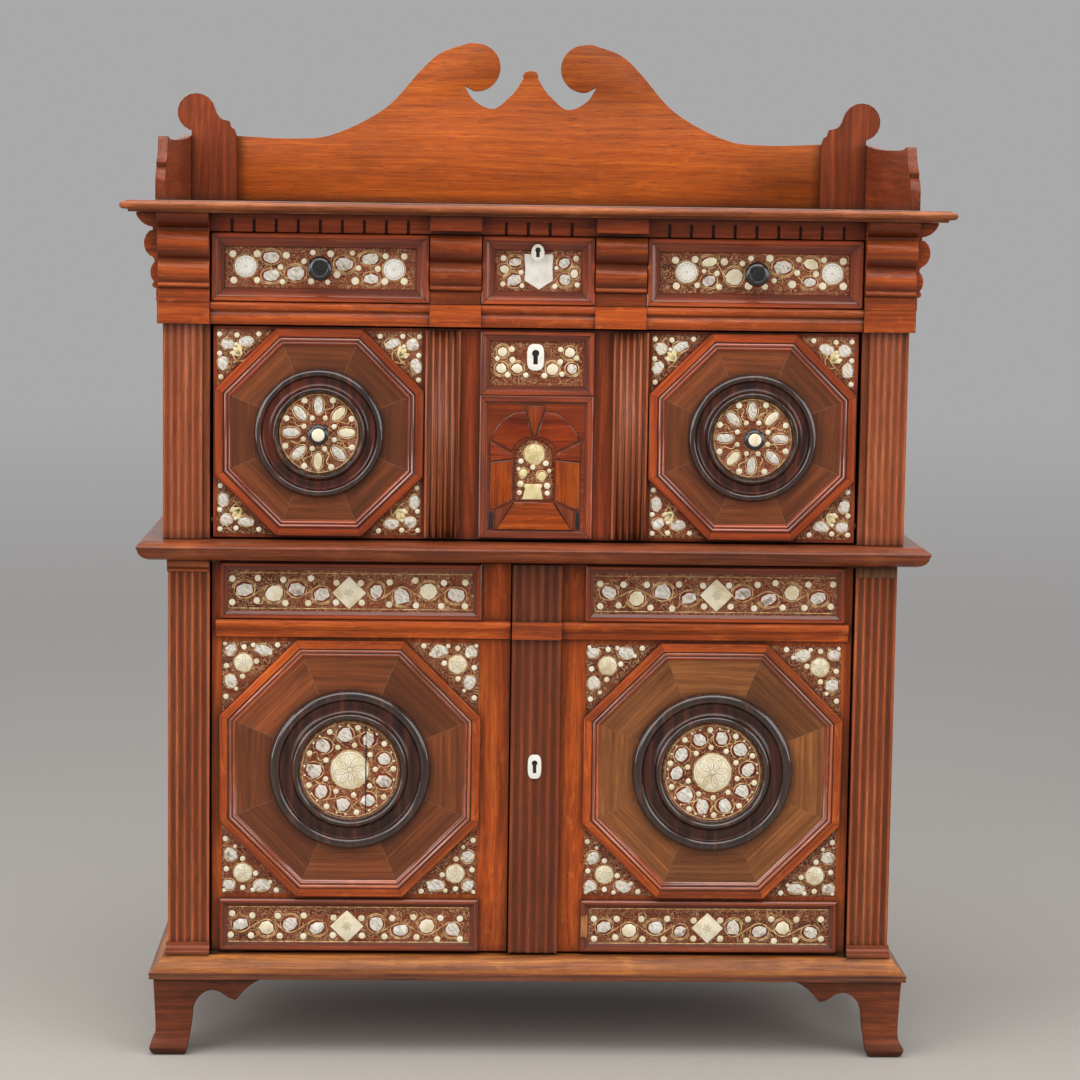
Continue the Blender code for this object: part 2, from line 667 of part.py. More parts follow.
# Dentil band under the cornice, with blocks over the corbels
def build_dentils():
    reach = OPENING_X - GAP
    z = (DENTIL_Z, CORNICE_Z - GAP)
    band = block("dentil_rail", (-reach, reach), (FRONT_Y - GAP, FRONT_Y + RAIL_DEPTH), z)
    bay = OPENING_X - CENTRE_X - CORBEL_WIDTH
    for bay_name, middle, width in (
        ("left", -OPENING_X + bay / 2, bay),
        ("centre", 0.0, CENTRE_WIDTH),
        ("right", OPENING_X - bay / 2, bay),
    ):
        count = max(1, int(width / DENTIL_PITCH - 0.5))
        first = middle - DENTIL_PITCH * (count - 1) / 2
        for number in range(count):
            x = first + DENTIL_PITCH * number
            slot = block(
                f"dentil_slot_{bay_name}_{number}",
                (x - DENTIL_SLOT / 2, x + DENTIL_SLOT / 2),
                (FRONT_Y - DENTIL_CUT, FRONT_Y + DENTIL_CUT),
                (DENTIL_Z - DENTIL_CUT, DENTIL_Z + DENTIL_BAND),
            )
            cut(band, slot)
    for side_name, side in SIDES:
        x = span(side, CENTRE_X + GAP, CENTRE_X + CORBEL_WIDTH)
        y = (FRONT_Y - DENTIL_BLOCK, FRONT_Y + RAIL_DEPTH / 2)
        block_z = (CORNICE_Z - CORBEL_CAP_HEIGHT, CORNICE_Z - 2 * GAP)
        join(band, block("dentil_block_" + side_name, x, y, block_z))
    register(band, OAK_DARK)


build_rail()
build_dentils()


# Gallery: swan-neck back board, shaped side boards and the two ears in the corners
def gallery_back_half():
    end = GALLERY_X - GAP
    peak = TOP_Z + GALLERY_PEAK
    low = TOP_Z + GALLERY_END_HEIGHT
    rise = peak - low
    neck = batten(
        [
            (end, low),
            (end * 0.87, low - rise * 0.030),
            (end * 0.70, low - rise * 0.050),
            (end * 0.58, low + rise * 0.005),
            (end * 0.43, low + rise * 0.29),
            (end * 0.325, low + rise * 0.70),
            (end * 0.265, low + rise * 0.89),
            (end * 0.18, peak),
        ]
    )
    # the curl turns in to a hook over a round hollow that ends at the finial
    curl_centre = Vector((end * 0.160, peak - rise * 0.262))
    curl_radius = rise * 0.255
    curl = []
    for degrees in (100, 125, 150, 175, 200, 225, 250, 275):
        spoke = Vector((math.cos(math.radians(degrees)), math.sin(math.radians(degrees))))
        curl.append(tuple(curl_centre + spoke * curl_radius))
    hook = (end * 0.197, peak - rise * 0.46)
    dip = batten(
        [
            hook,
            (end * 0.165, peak - rise * 0.62),
            (end * 0.108, peak - rise * 0.70),
            (end * 0.052, peak - rise * 0.54),
        ]
    )
    finial = batten([dip[-1], (end * 0.028, peak - rise * 0.42), (end * 0.018, peak - rise * 0.33)], 3)
    crown = arc(finial[-1], (0.0, peak - rise * 0.29), 0.002, 3)
    return neck + curl + dip + finial[1:] + crown


def build_gallery():
    half = gallery_back_half()
    foot = TOP_Z + GAP
    mirrored = [(-x, z) for x, z in reversed(half[:-1])]
    outline = [(half[0][0], foot)] + half + mirrored + [(-half[0][0], foot)]
    register(sawn("gallery_back", outline, "front", BACK_Y - GALLERY_BACK, BACK_Y), OAK_GOLD)

    top = TOP_Z + GALLERY_SIDE_HEIGHT
    lobe = GALLERY_LOBE
    toe = [(FRONT_Y, foot), (FRONT_Y, foot + 1.1 * lobe)]
    toe += arc(toe[-1], (FRONT_Y + 0.8 * lobe, foot + 2.0 * lobe), -0.16 * lobe, 4)
    toe += [(FRONT_Y + 0.7 * lobe, foot + 2.3 * lobe)]
    toe += arc(toe[-1], (FRONT_Y + 1.9 * lobe, top - 0.2 * lobe), 0.2 * lobe, 4)
    crest = batten(
        [
            (FRONT_Y + 2.1 * lobe, top),
            (FRONT_Y + 5.0 * lobe, top - 0.15 * lobe),
            (BACK_Y - 6.0 * lobe, top + 0.1 * lobe),
            (BACK_Y, TOP_Z + GALLERY_END_HEIGHT - 0.1 * lobe),
        ]
    )
    side_outline = toe + crest + [(BACK_Y, foot)]
    for side_name, side in SIDES:
        low, high = span(side, GALLERY_X, GALLERY_X + GALLERY_BOARD)
        register(sawn("gallery_side_" + side_name, side_outline, "side", low, high), OAK_DARK)

    ear_back = BACK_Y - GALLERY_BACK - GAP
    outer = GALLERY_X - GAP
    inside = outer - EAR_WIDTH
    centre = Vector((outer - EAR_HEAD * 0.26, TOP_Z + EAR_HEAD_HEIGHT))
    ear = [(outer, foot), (outer, TOP_Z + EAR_HEAD_HEIGHT - EAR_HEAD * 0.96)]
    for degrees in range(-70, 171, 20):
        spoke = Vector((math.cos(math.radians(degrees)), math.sin(math.radians(degrees))))
        ear.append(tuple(centre + EAR_HEAD * spoke))
    shoulder = TOP_Z + EAR_HEAD_HEIGHT - EAR_HEAD * 0.35
    ear += arc(ear[-1], (inside + EAR_STEP * 2, shoulder), -EAR_STEP / 6, 3)
    ear += [(inside + EAR_STEP, shoulder - EAR_STEP / 4), (inside + EAR_STEP * 0.8, shoulder - EAR_STEP)]
    ear += [(inside + EAR_STEP / 3, shoulder - EAR_STEP * 1.3), (inside, shoulder - EAR_STEP * 2.3)]
    ear += [(inside, foot)]
    for side_name, side in SIDES:
        outline = [(side * x, z) for x, z in ear]
        board = sawn("gallery_ear_" + side_name, outline, "front", ear_back - GALLERY_BOARD, ear_back)
        register(board, OAK)


build_gallery()


# A turned knob on a short neck that points to the front
def knob(name, radius, length, place, finish, parent):
    profile = [(0.0, length), (radius * 0.62, length * 0.98), (radius * 0.90, length * 0.90)]
    profile += [(radius, length * 0.74), (radius * 0.88, length * 0.58), (radius * 0.52, length * 0.44)]
    profile += [(radius * 0.40, length * 0.26), (radius * 0.55, length * 0.10), (radius * 0.62, 0.0)]
    profile += [(0.0, 0.0)]
    handle = turned(name, profile, 20)
    handle.location = place
    handle.rotation_euler = PLANES["front"]
    return register(handle, finish, parent)


# Frieze drawer: a front with three framed panels between applied corbels, and a dovetailed box
def build_frieze_drawer():
    reach = OPENING_X - DRAWER_GAP
    z = (FRIEZE_Z + GAP, DENTIL_Z - DRAWER_GAP)
    face = FRONT_Y + FRIEZE_SINK
    back = face + FRIEZE_BOARD
    board = block("frieze_front", (-reach, reach), (face, back), z)
    outer = CENTRE_X + CORBEL_WIDTH + GAP
    end = reach - GAP
    bays = (("left", (-end, -outer)), ("centre", (-CENTRE_X, CENTRE_X)), ("right", (outer, end)))
    frame_z = (z[0] + GAP, z[1] - GAP)
    for bay_name, x in bays:
        name = "frieze_frame_" + bay_name
        join(board, framed(name, x, frame_z, face - FRAME_HEIGHT, face + FRAME_LAP, FRIEZE_FRAME))
    register(board, OAK, FRIEZE_DRAWER)

    for side_name, side in SIDES:
        root = face - GAP
        profile = [(root, z[1])]
        profile += [(root - out, z[0] + up) for out, up in corbel_profile(z[1] - z[0])]
        profile += [(root, z[0])]
        corbel = sawn("frieze_corbel_" + side_name, profile, "side", *span(side, CENTRE_X + GAP, outer - GAP))
        register(corbel, OAK, FRIEZE_DRAWER)
        field = face - FRAME_HEIGHT - sum(rise for width, rise in FRIEZE_FRAME)
        middle = side * (outer + reach) / 2
        place = (middle, field - GAP, (z[0] + z[1]) / 2)
        knob("frieze_knob_" + side_name, KNOB_RADIUS, KNOB_LENGTH, place, EBONY, FRIEZE_DRAWER)

    y = (back + GAP, INNER_BACK_Y - DRAWER_BACK_SPACE)
    box_z = (z[0], z[0] + FRIEZE_BOX_HEIGHT)
    box = block("frieze_box", (-reach, reach), y, box_z)
    hollow_x = (DRAWER_WALL - reach, reach - DRAWER_WALL)
    hollow_y = (back - DRAWER_WALL, y[1] - DRAWER_WALL)
    cut(box, block("frieze_hollow", hollow_x, hollow_y, (box_z[0] + DRAWER_WALL, box_z[1] + DRAWER_WALL)))
    register(box, OAK_INSIDE, FRIEZE_DRAWER)
    lock_z = (z[1] - LOCK_DROP - LOCK_HEIGHT, z[1] - LOCK_DROP)
    case = block("frieze_lock", (-LOCK_WIDTH / 2, LOCK_WIDTH / 2), (back + GAP, back + LOCK_DEPTH), lock_z)
    register(case, IRON, FRIEZE_DRAWER)


build_frieze_drawer()


# An octagonal frame with its sunk field, between two opposite sides
def octagon(name, across, height, place, parent):
    half = across / 2
    inner = half - OCTAGON_FRAME
    apothems = [
        (0.0, FIELD_HEIGHT),
        (inner, FIELD_HEIGHT),
        (inner + 0.001, FIELD_HEIGHT + 0.002),
        (inner + 0.007, height * 0.80),
        (inner + 0.009, height * 0.72),
        (half - 0.010, height),
        (half - 0.003, height),
        (half, height * 0.75),
        (half, 0.0),
        (0.0, 0.0),
    ]
    profile = [(apothem / math.cos(OCTANT), up) for apothem, up in apothems]
    panel = turned(name, profile, 8, OCTANT)
    panel.location = place
    panel.rotation_euler = PLANES["front"]
    return register(panel, FIELD_WOOD, parent)


# A turned ring round a disc
def ring(name, radius, disc, place, parent):
    wide = radius - disc
    profile = [
        (0.0, DISC_HEIGHT),
        (disc, DISC_HEIGHT),
        (disc + wide * 0.06, RING_HEIGHT * 0.70),
        (disc + wide * 0.18, RING_HEIGHT * 0.80),
        (disc + wide * 0.30, RING_HEIGHT * 0.68),
        (disc + wide * 0.42, RING_HEIGHT * 0.70),
        (disc + wide * 0.62, RING_HEIGHT * 0.96),
        (disc + wide * 0.76, RING_HEIGHT),
        (disc + wide * 0.90, RING_HEIGHT * 0.85),
        (radius, RING_HEIGHT * 0.40),
        (radius, 0.0),
        (0.0, 0.0),
    ]
    turning = turned(name, profile, 36)
    turning.location = place
    turning.rotation_euler = PLANES["front"]
    return register(turning, EBONY, parent)


# Fall front: a board with a rule-jointed foot that turns on brass pivots
FALL_X = OPENING_X - DRAWER_GAP - PIVOT_PLATE - GAP
FALL_FOOT = UPPER_Z + FALL_GAP
FALL_HEAD = RAIL_Z - FALL_GAP
FALL_BACK_Y = FALL_FACE_Y + FALL_THICKNESS


def build_fall():
    axis_y, axis_z = FALL_AXIS[1:]
    drop = axis_z - FALL_FOOT
    heel = FALL_BACK_Y - axis_y
    outline = [(FALL_BACK_Y, FALL_HEAD), (FALL_FACE_Y, FALL_HEAD), (FALL_FACE_Y, FALL_FOOT)]
    limit = math.asin(heel / drop)
    for step in range(6):
        angle = limit * step / 5
        outline.append((axis_y + drop * math.sin(angle), axis_z - drop * math.cos(angle)))
    board = sawn("fall_board", outline, "side", -FALL_X, FALL_X)

    foot = FALL_FOOT + FALL_EDGE
    head = FALL_HEAD - FALL_EDGE
    panel_foot = foot + ARCH_PANEL_HEIGHT + GAP
    frame = framed(
        "fall_centre_frame",
        (-CENTRE_X, CENTRE_X),
        (panel_foot, head),
        FALL_FACE_Y - FALL_RELIEF,
        FALL_FACE_Y + FRAME_LAP,
        FALL_FRAME,
    )
    join(board, frame)
    for side_name, side in SIDES:
        outer = FALL_X - FALL_EDGE - fall_octagon_size() - FALL_EDGE
        plan = fluted_plan(
            span(side, outer - FALL_FLUTED, outer),
            FALL_FACE_Y - FALL_FLUTED_HEIGHT,
            FALL_FACE_Y + FRAME_LAP,
        )
        join(board, sawn("fall_pilaster_" + side_name, plan, "plan", foot, head))
        mouth = (side * FALL_X, axis_y, axis_z)
        length = 2 * (PIVOT_TONGUE + PIN_SPACE)
        cut(board, drill("fall_socket_" + side_name, PIVOT_PIN + PIN_CLEARANCE, mouth, length, "x"))
    register(board, OAK_DARK, FALL)

    arch = framed(
        "fall_arch_panel",
        (-CENTRE_X, CENTRE_X),
        (foot, foot + ARCH_PANEL_HEIGHT),
        FALL_FACE_Y - FALL_RELIEF,
        FALL_FACE_Y - GAP,
        ARCH_FRAME,
    )
    sill = foot + NICHE_SILL
    spring = sill + NICHE_HEIGHT - NICHE_WIDTH / 2
    niche = [(-NICHE_WIDTH / 2, sill), (NICHE_WIDTH / 2, sill), (NICHE_WIDTH / 2, spring)]
    niche += arc(niche[-1], (-NICHE_WIDTH / 2, spring), NICHE_WIDTH / 2 * 0.999, 10)
    cut(arch, sawn("niche", niche, "front", FALL_FACE_Y - 2 * FALL_RELIEF, FALL_FACE_Y - NICHE_FLOOR))
    register(arch, OAK, FALL)

    size = fall_octagon_size()
    middle_z = (foot + head) / 2
    for side_name, side in SIDES:
        middle_x = side * (FALL_X - FALL_EDGE - size / 2)
        face = FALL_FACE_Y - GAP
        octagon("fall_octagon_" + side_name, size, FALL_OCTAGON_HEIGHT, (middle_x, face, middle_z), FALL)
        face -= FIELD_HEIGHT + GAP
        ring("fall_ring_" + side_name, FALL_RING, FALL_DISC, (middle_x, face, middle_z), FALL)
        face -= DISC_HEIGHT + GAP
        place = (middle_x, face, middle_z)
        knob("fall_knob_" + side_name, FALL_KNOB_RADIUS, FALL_KNOB_LENGTH, place, EBONY, FALL)

    lock_z = (FALL_HEAD - LOCK_DROP - LOCK_HEIGHT, FALL_HEAD - LOCK_DROP)
    lock_y = (FALL_BACK_Y + GAP, FALL_BACK_Y + LOCK_DEPTH)
    register(block("fall_lock", (-LOCK_WIDTH / 2, LOCK_WIDTH / 2), lock_y, lock_z), IRON, FALL)


def fall_octagon_size():
    tall = FALL_HEAD - FALL_FOOT - 2 * FALL_EDGE
    wide = FALL_X - CENTRE_X - FALL_FLUTED - 3 * FALL_EDGE
    return min(tall, wide)


# Quadrant stays: quarter rings about the pivot that hold the open fall level
def build_stays():
    axis_y, axis_z = FALL_AXIS[1:]
    start = FALL_BACK_Y + GAP - axis_y
    outer = STAY_RADIUS + STAY_WIDTH / 2
    inner = STAY_RADIUS - STAY_WIDTH / 2
    outline = []
    for radius, order in ((outer, range(17)), (inner, range(16, -1, -1))):
        first = math.asin(start / radius)
        last = math.radians(STAY_SWEEP)
        for step in order:
            angle = first + (last - first) * step / 16
            outline.append((axis_y + radius * math.sin(angle), axis_z + radius * math.cos(angle)))
    for side_name, side in SIDES:
        place = FALL_X - WELL_INSET + (WELL_INSET - STAY_THICKNESS) / 2
        low, high = span(side, place, place + STAY_THICKNESS)
        register(sawn("fall_stay_" + side_name, outline, "side", low, high), BRASS, FALL)


# Pivot brackets: a plate beside the fall with a pin into its end, packed out to the drawer side
def build_pivots():
    axis_y, axis_z = FALL_AXIS[1:]
    back = axis_y + PIVOT_REACH
    low = axis_z - PIVOT_HEIGHT / 2
    high = axis_z + PIVOT_HEIGHT / 2
    outline = [(back, low), (back, high), (axis_y + WELL_FRONT, high), (axis_y, axis_z + PIVOT_NOSE)]
    outline += arc(outline[-1], (axis_y, axis_z - PIVOT_NOSE), PIVOT_NOSE * 0.999, 6)
    outline += [(axis_y + WELL_FRONT, low)]
    for side_name, side in SIDES:
        name = "fall_pivot_" + side_name
        face = FALL_X + GAP
        bracket = sawn(name, outline, "side", *span(side, face, face + PIVOT_PLATE))
        packing = block(
            name + "_packing",
            span(side, FALL_X - WELL_INSET + GAP, face + PIVOT_PLATE / 2),
            (axis_y + WELL_FRONT + GAP, back - GAP),
            (low + GAP, high - GAP),
        )
        middle = face + PIVOT_PLATE / 2 - PIVOT_TONGUE / 2
        pin = drill(name + "_pin", PIVOT_PIN, (side * middle, axis_y, axis_z), PIVOT_TONGUE, "x")
        join(bracket, packing, pin)
        register(bracket, BRASS, SECRETAIRE_DRAWER)


# Secretaire drawer: sides, writing floor and back, with a bank of pigeonholes at the back
def build_well():
    axis_y, axis_z = FALL_AXIS[1:]
    outer = FALL_X - WELL_INSET
    inner = outer - WELL_WALL
    front = axis_y + WELL_FRONT
    back = INNER_BACK_Y - DRAWER_BACK_SPACE
    foot = UPPER_Z + GAP
    floor_top = axis_z + FALL_BACK_Y - axis_y
    box = block("secretaire_box", (-outer, outer), (front, back), (foot, foot + WELL_HEIGHT))
    hollow_y = (front - WELL_WALL, back - WELL_WALL)
    well = block("secretaire_well", (-inner, inner), hollow_y, (floor_top, foot + WELL_HEIGHT + WELL_WALL))
    cut(box, well)
    register(box, OAK_INSIDE, SECRETAIRE_DRAWER)

    z = (floor_top + GAP, floor_top + PIGEON_HEIGHT)
    reach = inner - GAP
    rear = back - WELL_WALL - GAP
    bank = block("pigeonholes", (-reach, reach), (rear - PIGEON_DEPTH, rear), z)
    pitch = (2 * reach - PIGEON_WALL) / PIGEON_COUNT
    for number in range(PIGEON_COUNT):
        left = -reach + PIGEON_WALL + pitch * number
        hole = block(
            f"pigeonhole_{number}",
            (left, left + pitch - PIGEON_WALL),
            (rear - PIGEON_DEPTH - PIGEON_WALL, rear - PIGEON_WALL),
            (z[0] + PIGEON_WALL, z[1] - PIGEON_WALL),
        )
        cut(bank, hole)
    register(bank, OAK_INSIDE, SECRETAIRE_DRAWER)


build_fall()
build_stays()
build_pivots()
build_well()


# Doors: a board with two inlay panels, a ledge, an octagon and a ring, hung on pins at its two ends
def build_door(side_name, side):
    hinge = DOORS[side_name]
    face = LOWER_Y + DOOR_SINK
    back = face + DOOR_THICKNESS
    edge = OPENING_X - DOOR_GAP
    free = MEETING_X + side * MEETING_GAP / 2
    foot = LOWER_Z + DOOR_FOOT
    head = WAIST_Z - DOOR_HEAD
    x = tuple(sorted((side * edge, free)))
    board = block(side_name + "_door", x, (face, back), (foot, head))

    panel_x = span(side, PANEL_INNER, edge - PANEL_MARGIN)
    top_panel_foot = head - TOP_PANEL_HEIGHT
    ledge_foot = top_panel_foot - LEDGE_HEIGHT
    for part, z in (("bottom", (foot + GAP, foot + PANEL_HEIGHT)), ("top", (top_panel_foot, head - GAP))):
        name = f"{side_name}_{part}_frame"
        join(board, framed(name, panel_x, z, face - PANEL_RELIEF, face + FRAME_LAP, DOOR_FRAME))
    ledge = [(face + FRAME_LAP, top_panel_foot - GAP), (face - LEDGE_RELIEF * 0.7, top_panel_foot - GAP)]
    ledge += arc(ledge[-1], (face - LEDGE_RELIEF * 0.7, ledge_foot + LEDGE_HEIGHT * 0.50), 0.003, 5)
    ledge += [(face - LEDGE_RELIEF * 0.45, ledge_foot + LEDGE_HEIGHT * 0.50)]
    ledge += [(face - LEDGE_RELIEF * 0.45, ledge_foot), (face + FRAME_LAP, ledge_foot)]
    pilaster_edge = free + CENTRE_PILASTER_WIDTH + GAP if side > 0 else free
    ledge_x = tuple(sorted((side * (edge - PANEL_MARGIN / 2), pilaster_edge)))
    join(board, sawn(side_name + "_ledge", ledge, "side", *ledge_x))
    register(board, OAK_GOLD, hinge)

    zone = (foot + PANEL_HEIGHT + OCTAGON_GAP, ledge_foot - OCTAGON_GAP)
    size = min(panel_x[1] - panel_x[0], zone[1] - zone[0])
    place = ((panel_x[0] + panel_x[1]) / 2, face - GAP, (zone[0] + zone[1]) / 2)
    octagon(side_name + "_octagon", size, DOOR_OCTAGON_HEIGHT, place, hinge)
    place = (place[0], place[1] - FIELD_HEIGHT - GAP, place[2])
    ring(side_name + "_ring", DOOR_RING, DOOR_DISC, place, hinge)
    build_hinges(side_name, side, foot, head, face, back, hinge)
    if side > 0:
        build_meeting_pilaster(free, foot, head, face, ledge_foot, top_panel_foot, hinge)
        lock_x = (free + DOOR_LOCK_EDGE, free + DOOR_LOCK_EDGE + LOCK_WIDTH)
        lock_z = (DOOR_LOCK_Z - LOCK_HEIGHT, DOOR_LOCK_Z + LOCK_HEIGHT)
        register(block("door_lock", lock_x, (back + GAP, back + LOCK_DEPTH), lock_z), IRON, hinge)


# Fluted pilaster on the meeting edge of the right door, with a block at the height of the ledge
def build_meeting_pilaster(free, foot, head, face, block_foot, block_head, hinge):
    x = (free, free + CENTRE_PILASTER_WIDTH)
    front = face - CENTRE_PILASTER_DEPTH
    shaft = sawn("centre_pilaster", fluted_plan(x, front, face - GAP), "plan", foot, head)
    y = (front - CENTRE_BLOCK, front + FRAME_LAP)
    join(shaft, block("centre_block", (x[0] + GAP, x[1] - GAP), y, (block_foot, block_head)))
    register(shaft, OAK_DARK, hinge)


# Pin hinges on the end grain of a door: the plate is cranked forward to the pin
def build_hinges(side_name, side, foot, head, face, back, hinge):
    heel = DOOR_GAP - HINGE_INSET + HINGE_MARGIN
    front_edge = face - LOWER_Y + HINGE_MARGIN
    back_edge = back - LOWER_Y - HINGE_MARGIN
    plate = [(heel, back_edge), (HINGE_LENGTH, back_edge), (HINGE_LENGTH, front_edge)]
    plate += [(HINGE_NOSE * 3, front_edge), (HINGE_NOSE, 0.0)]
    plate += arc(plate[-1], (-HINGE_NOSE, 0.0), -HINGE_NOSE * 0.999, 6)
    plate += [(heel, face - LOWER_Y)]
    outline = [(side * (HINGE_X - along), LOWER_Y + depth) for along, depth in plate]
    for end_name, low, way in (("bottom", foot - GAP - HINGE_PLATE, -1), ("top", head + GAP, 1)):
        name = f"{side_name}_pivot_{end_name}"
        leaf = sawn(name, outline, "plan", low, low + HINGE_PLATE)
        start = low + HINGE_PLATE / 2
        tip = (WAIST_Z if way > 0 else LOWER_Z) + way * HINGE_PIN_LENGTH
        centre = (side * HINGE_X, LOWER_Y, (start + tip) / 2)
        join(leaf, drill(name + "_pin", HINGE_PIN, centre, abs(tip - start), "z"))
        register(leaf, BRASS, hinge)
        mouth = (side * HINGE_X, LOWER_Y, WAIST_Z if way > 0 else LOWER_Z)
        length = 2 * (HINGE_PIN_LENGTH + PIN_SPACE)
        hole = drill(name + "_hole", HINGE_PIN + PIN_CLEARANCE, mouth, length, "z")
        cut(waist_board if way > 0 else base_board, hole)


for side_name, side in SIDES:
    build_door(side_name, side)
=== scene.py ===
import math
import random
from functools import partial

import bmesh
import bpy
from mathutils import Matrix, Vector


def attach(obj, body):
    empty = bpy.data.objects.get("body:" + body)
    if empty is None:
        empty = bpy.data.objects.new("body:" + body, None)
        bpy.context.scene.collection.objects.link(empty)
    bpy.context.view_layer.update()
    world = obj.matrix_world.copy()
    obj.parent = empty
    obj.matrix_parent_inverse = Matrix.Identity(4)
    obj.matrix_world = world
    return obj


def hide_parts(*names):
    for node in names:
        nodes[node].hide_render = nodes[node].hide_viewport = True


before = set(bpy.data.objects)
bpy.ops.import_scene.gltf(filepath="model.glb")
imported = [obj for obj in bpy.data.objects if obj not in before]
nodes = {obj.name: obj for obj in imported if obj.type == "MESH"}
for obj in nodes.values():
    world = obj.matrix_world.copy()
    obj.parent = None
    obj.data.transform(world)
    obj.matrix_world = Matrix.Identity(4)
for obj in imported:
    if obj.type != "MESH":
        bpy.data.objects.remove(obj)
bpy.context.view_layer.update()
scene = bpy.context.scene
scene.view_settings.view_transform = "Standard"
bpy.ops.object.select_all(action="DESELECT")
mm = .001
weldGap = .00002
print("frame loaded,", len(nodes), "nodes")

# camera, floor and light
view = {"place": (-.1547, -4.6252, 1.2812), "yaw": 2.113, "pitch": 6.428, "roll": .82, "lens": 99.2, "sensor": 36,
        "far": 200}
studio = {"floor": (170, 169, 169), "near": (167, 161, 154), "sky": .26, "floorSize": 60, "fadeHalf": 4.6}
lamps = {  # place, aim, size, watts
    "overhead": ((-.2, -1.0, 3.3), (0, -.3, .9), (4.4, 2.8), 126),
    "leftFront": ((-3.4, -3.6, 2.4), (0, -.2, .8), (2.0, 2.4), 73),
    "rightFront": ((3.6, -3.2, 2.0), (0, -.2, .8), (2.0, 2.4), 53),
    "leftSide": ((-3.2, -.5, 1.4), (0, -.3, .8), (1.3, 2.2), 37),
    "rightSide": ((3.2, -.5, 1.4), (0, -.3, .8), (1.3, 2.2), 32),
    "behind": ((0, 3.4, 3.0), (0, 0, .8), (3.0, 2.0), 20),
}


def setCamera():
    turn = Matrix.Identity(4)
    for angle, axis in ((-view["yaw"], "Z"), (90 - view["pitch"], "X"), (view["roll"], "Z")):
        turn @= Matrix.Rotation(math.radians(angle), 4, axis)
    bpy.ops.object.camera_add()
    cam = bpy.context.object
    cam.data.lens, cam.data.sensor_width, cam.data.sensor_fit = view["lens"], view["sensor"], "HORIZONTAL"
    cam.data.clip_end = view["far"]
    cam.matrix_world = Matrix.Translation(view["place"]) @ turn
    scene.camera = cam


# colours are written as they look on screen, 0 to 255; four numbers are taken as they are
def paint(*tone):
    if len(tone) == 4:
        return tone
    return (*(c / 255 / 12.92 if c < 10.3 else ((c / 255 + .055) / 1.055) ** 2.4 for c in tone), 1)


def dim(tone, share):
    return (*(c * share for c in tone[:3]), 1)


# node helpers: they all work on the tree in hand
def startTree(owner):
    global tree
    owner.use_nodes = True
    tree = owner.node_tree
    tree.nodes.clear()


def plug(value, socket):
    if isinstance(value, bpy.types.NodeSocket):
        tree.links.new(value, socket)
    else:
        socket.default_value = paint(*value) if socket.type == "RGBA" else value


def addNode(kind, settings=None, **sockets):
    made = tree.nodes.new("ShaderNode" + kind)
    for key, value in (settings or {}).items():
        setattr(made, key, value)
    for key, value in sockets.items():
        plug(value, made.inputs[key.replace("_", " ")])
    return made


def maths(how, *values, kind="Math"):
    made = addNode(kind, {"operation": how})
    for value, socket in zip(values, made.inputs):
        plug(value, socket)
    return made.outputs[0]


add, sub, mul, div = (partial(maths, how) for how in ("ADD", "SUBTRACT", "MULTIPLY", "DIVIDE"))
mulAdd, most, over, absolute = (partial(maths, how) for how in ("MULTIPLY_ADD", "MAXIMUM", "GREATER_THAN", "ABSOLUTE"))


def blend(factor, a, b, how="MIX"):
    made = addNode("Mix", {"data_type": "RGBA", "blend_type": how})
    for value, index in ((factor, 0), (a, 6), (b, 7)):
        plug(value, made.inputs[index])
    return made.outputs[2]


def ramp(factor, *stops):
    made = addNode("ValToRGB")
    points = made.color_ramp.elements
    while len(points) < len(stops):
        points.new(.5)
    for point, (place, colour) in zip(points, stops):
        point.position, point.color = place, paint(*colour)
    plug(factor, made.inputs[0])
    return made.outputs[0]


def fade(value, low, high, toLow=0.0, toHigh=1.0):
    return addNode("MapRange", {"clamp": True}, Value=value, From_Min=low, From_Max=high, To_Min=toLow,
                   To_Max=toHigh).outputs[0]


def stretch(vec, scale=(1, 1, 1), shift=(0, 0, 0), turn=(0, 0, 0)):
    return addNode("Mapping", Vector=vec, Scale=scale, Location=shift, Rotation=turn).outputs[0]


def noise(vec, scale, detail=2.0, rough=.5):
    return addNode("TexNoise", Vector=vec, Scale=scale, Detail=detail, Roughness=rough).outputs["Fac"]


def axes(vec):
    return addNode("SeparateXYZ", Vector=vec).outputs


def fromAxes(x, y, z):
    return addNode("CombineXYZ", X=x, Y=y, Z=z).outputs[0]


def hollows(reach, samples=2, **settings):
    return addNode("AmbientOcclusion", {"samples": samples, **settings}, Distance=reach).outputs["AO"]


def anyTint(index, low, high):  # one tint for each board
    value = addNode("TexWhiteNoise", {"noise_dimensions": "1D"}, W=index).outputs["Value"]
    return ramp(value, (0, low), (1, high))


def newMaterial(name):  # gives the place on the piece
    global making
    making = bpy.data.materials.new(name)
    startTree(making)
    return addNode("TexCoord").outputs["Object"]


def closeMaterial(colour, rough, height, bump, depth, **shader):
    relief = addNode("Bump", Height=height, Strength=bump, Distance=depth).outputs[0]
    body = addNode("BsdfPrincipled", Base_Color=colour, Roughness=rough, Normal=relief, **shader)
    plug(body.outputs[0], addNode("OutputMaterial").inputs[0])
    return making


def seenRay():
    ray = addNode("LightPath").outputs
    return most(most(ray["Is Camera Ray"], ray["Is Transmission Ray"]), ray["Is Glossy Ray"])


def mixInto(out, *ends):
    both = addNode("MixShader")
    for end, socket in zip(ends, both.inputs):
        plug(end, socket)
    plug(both.outputs[0], out.inputs[0])


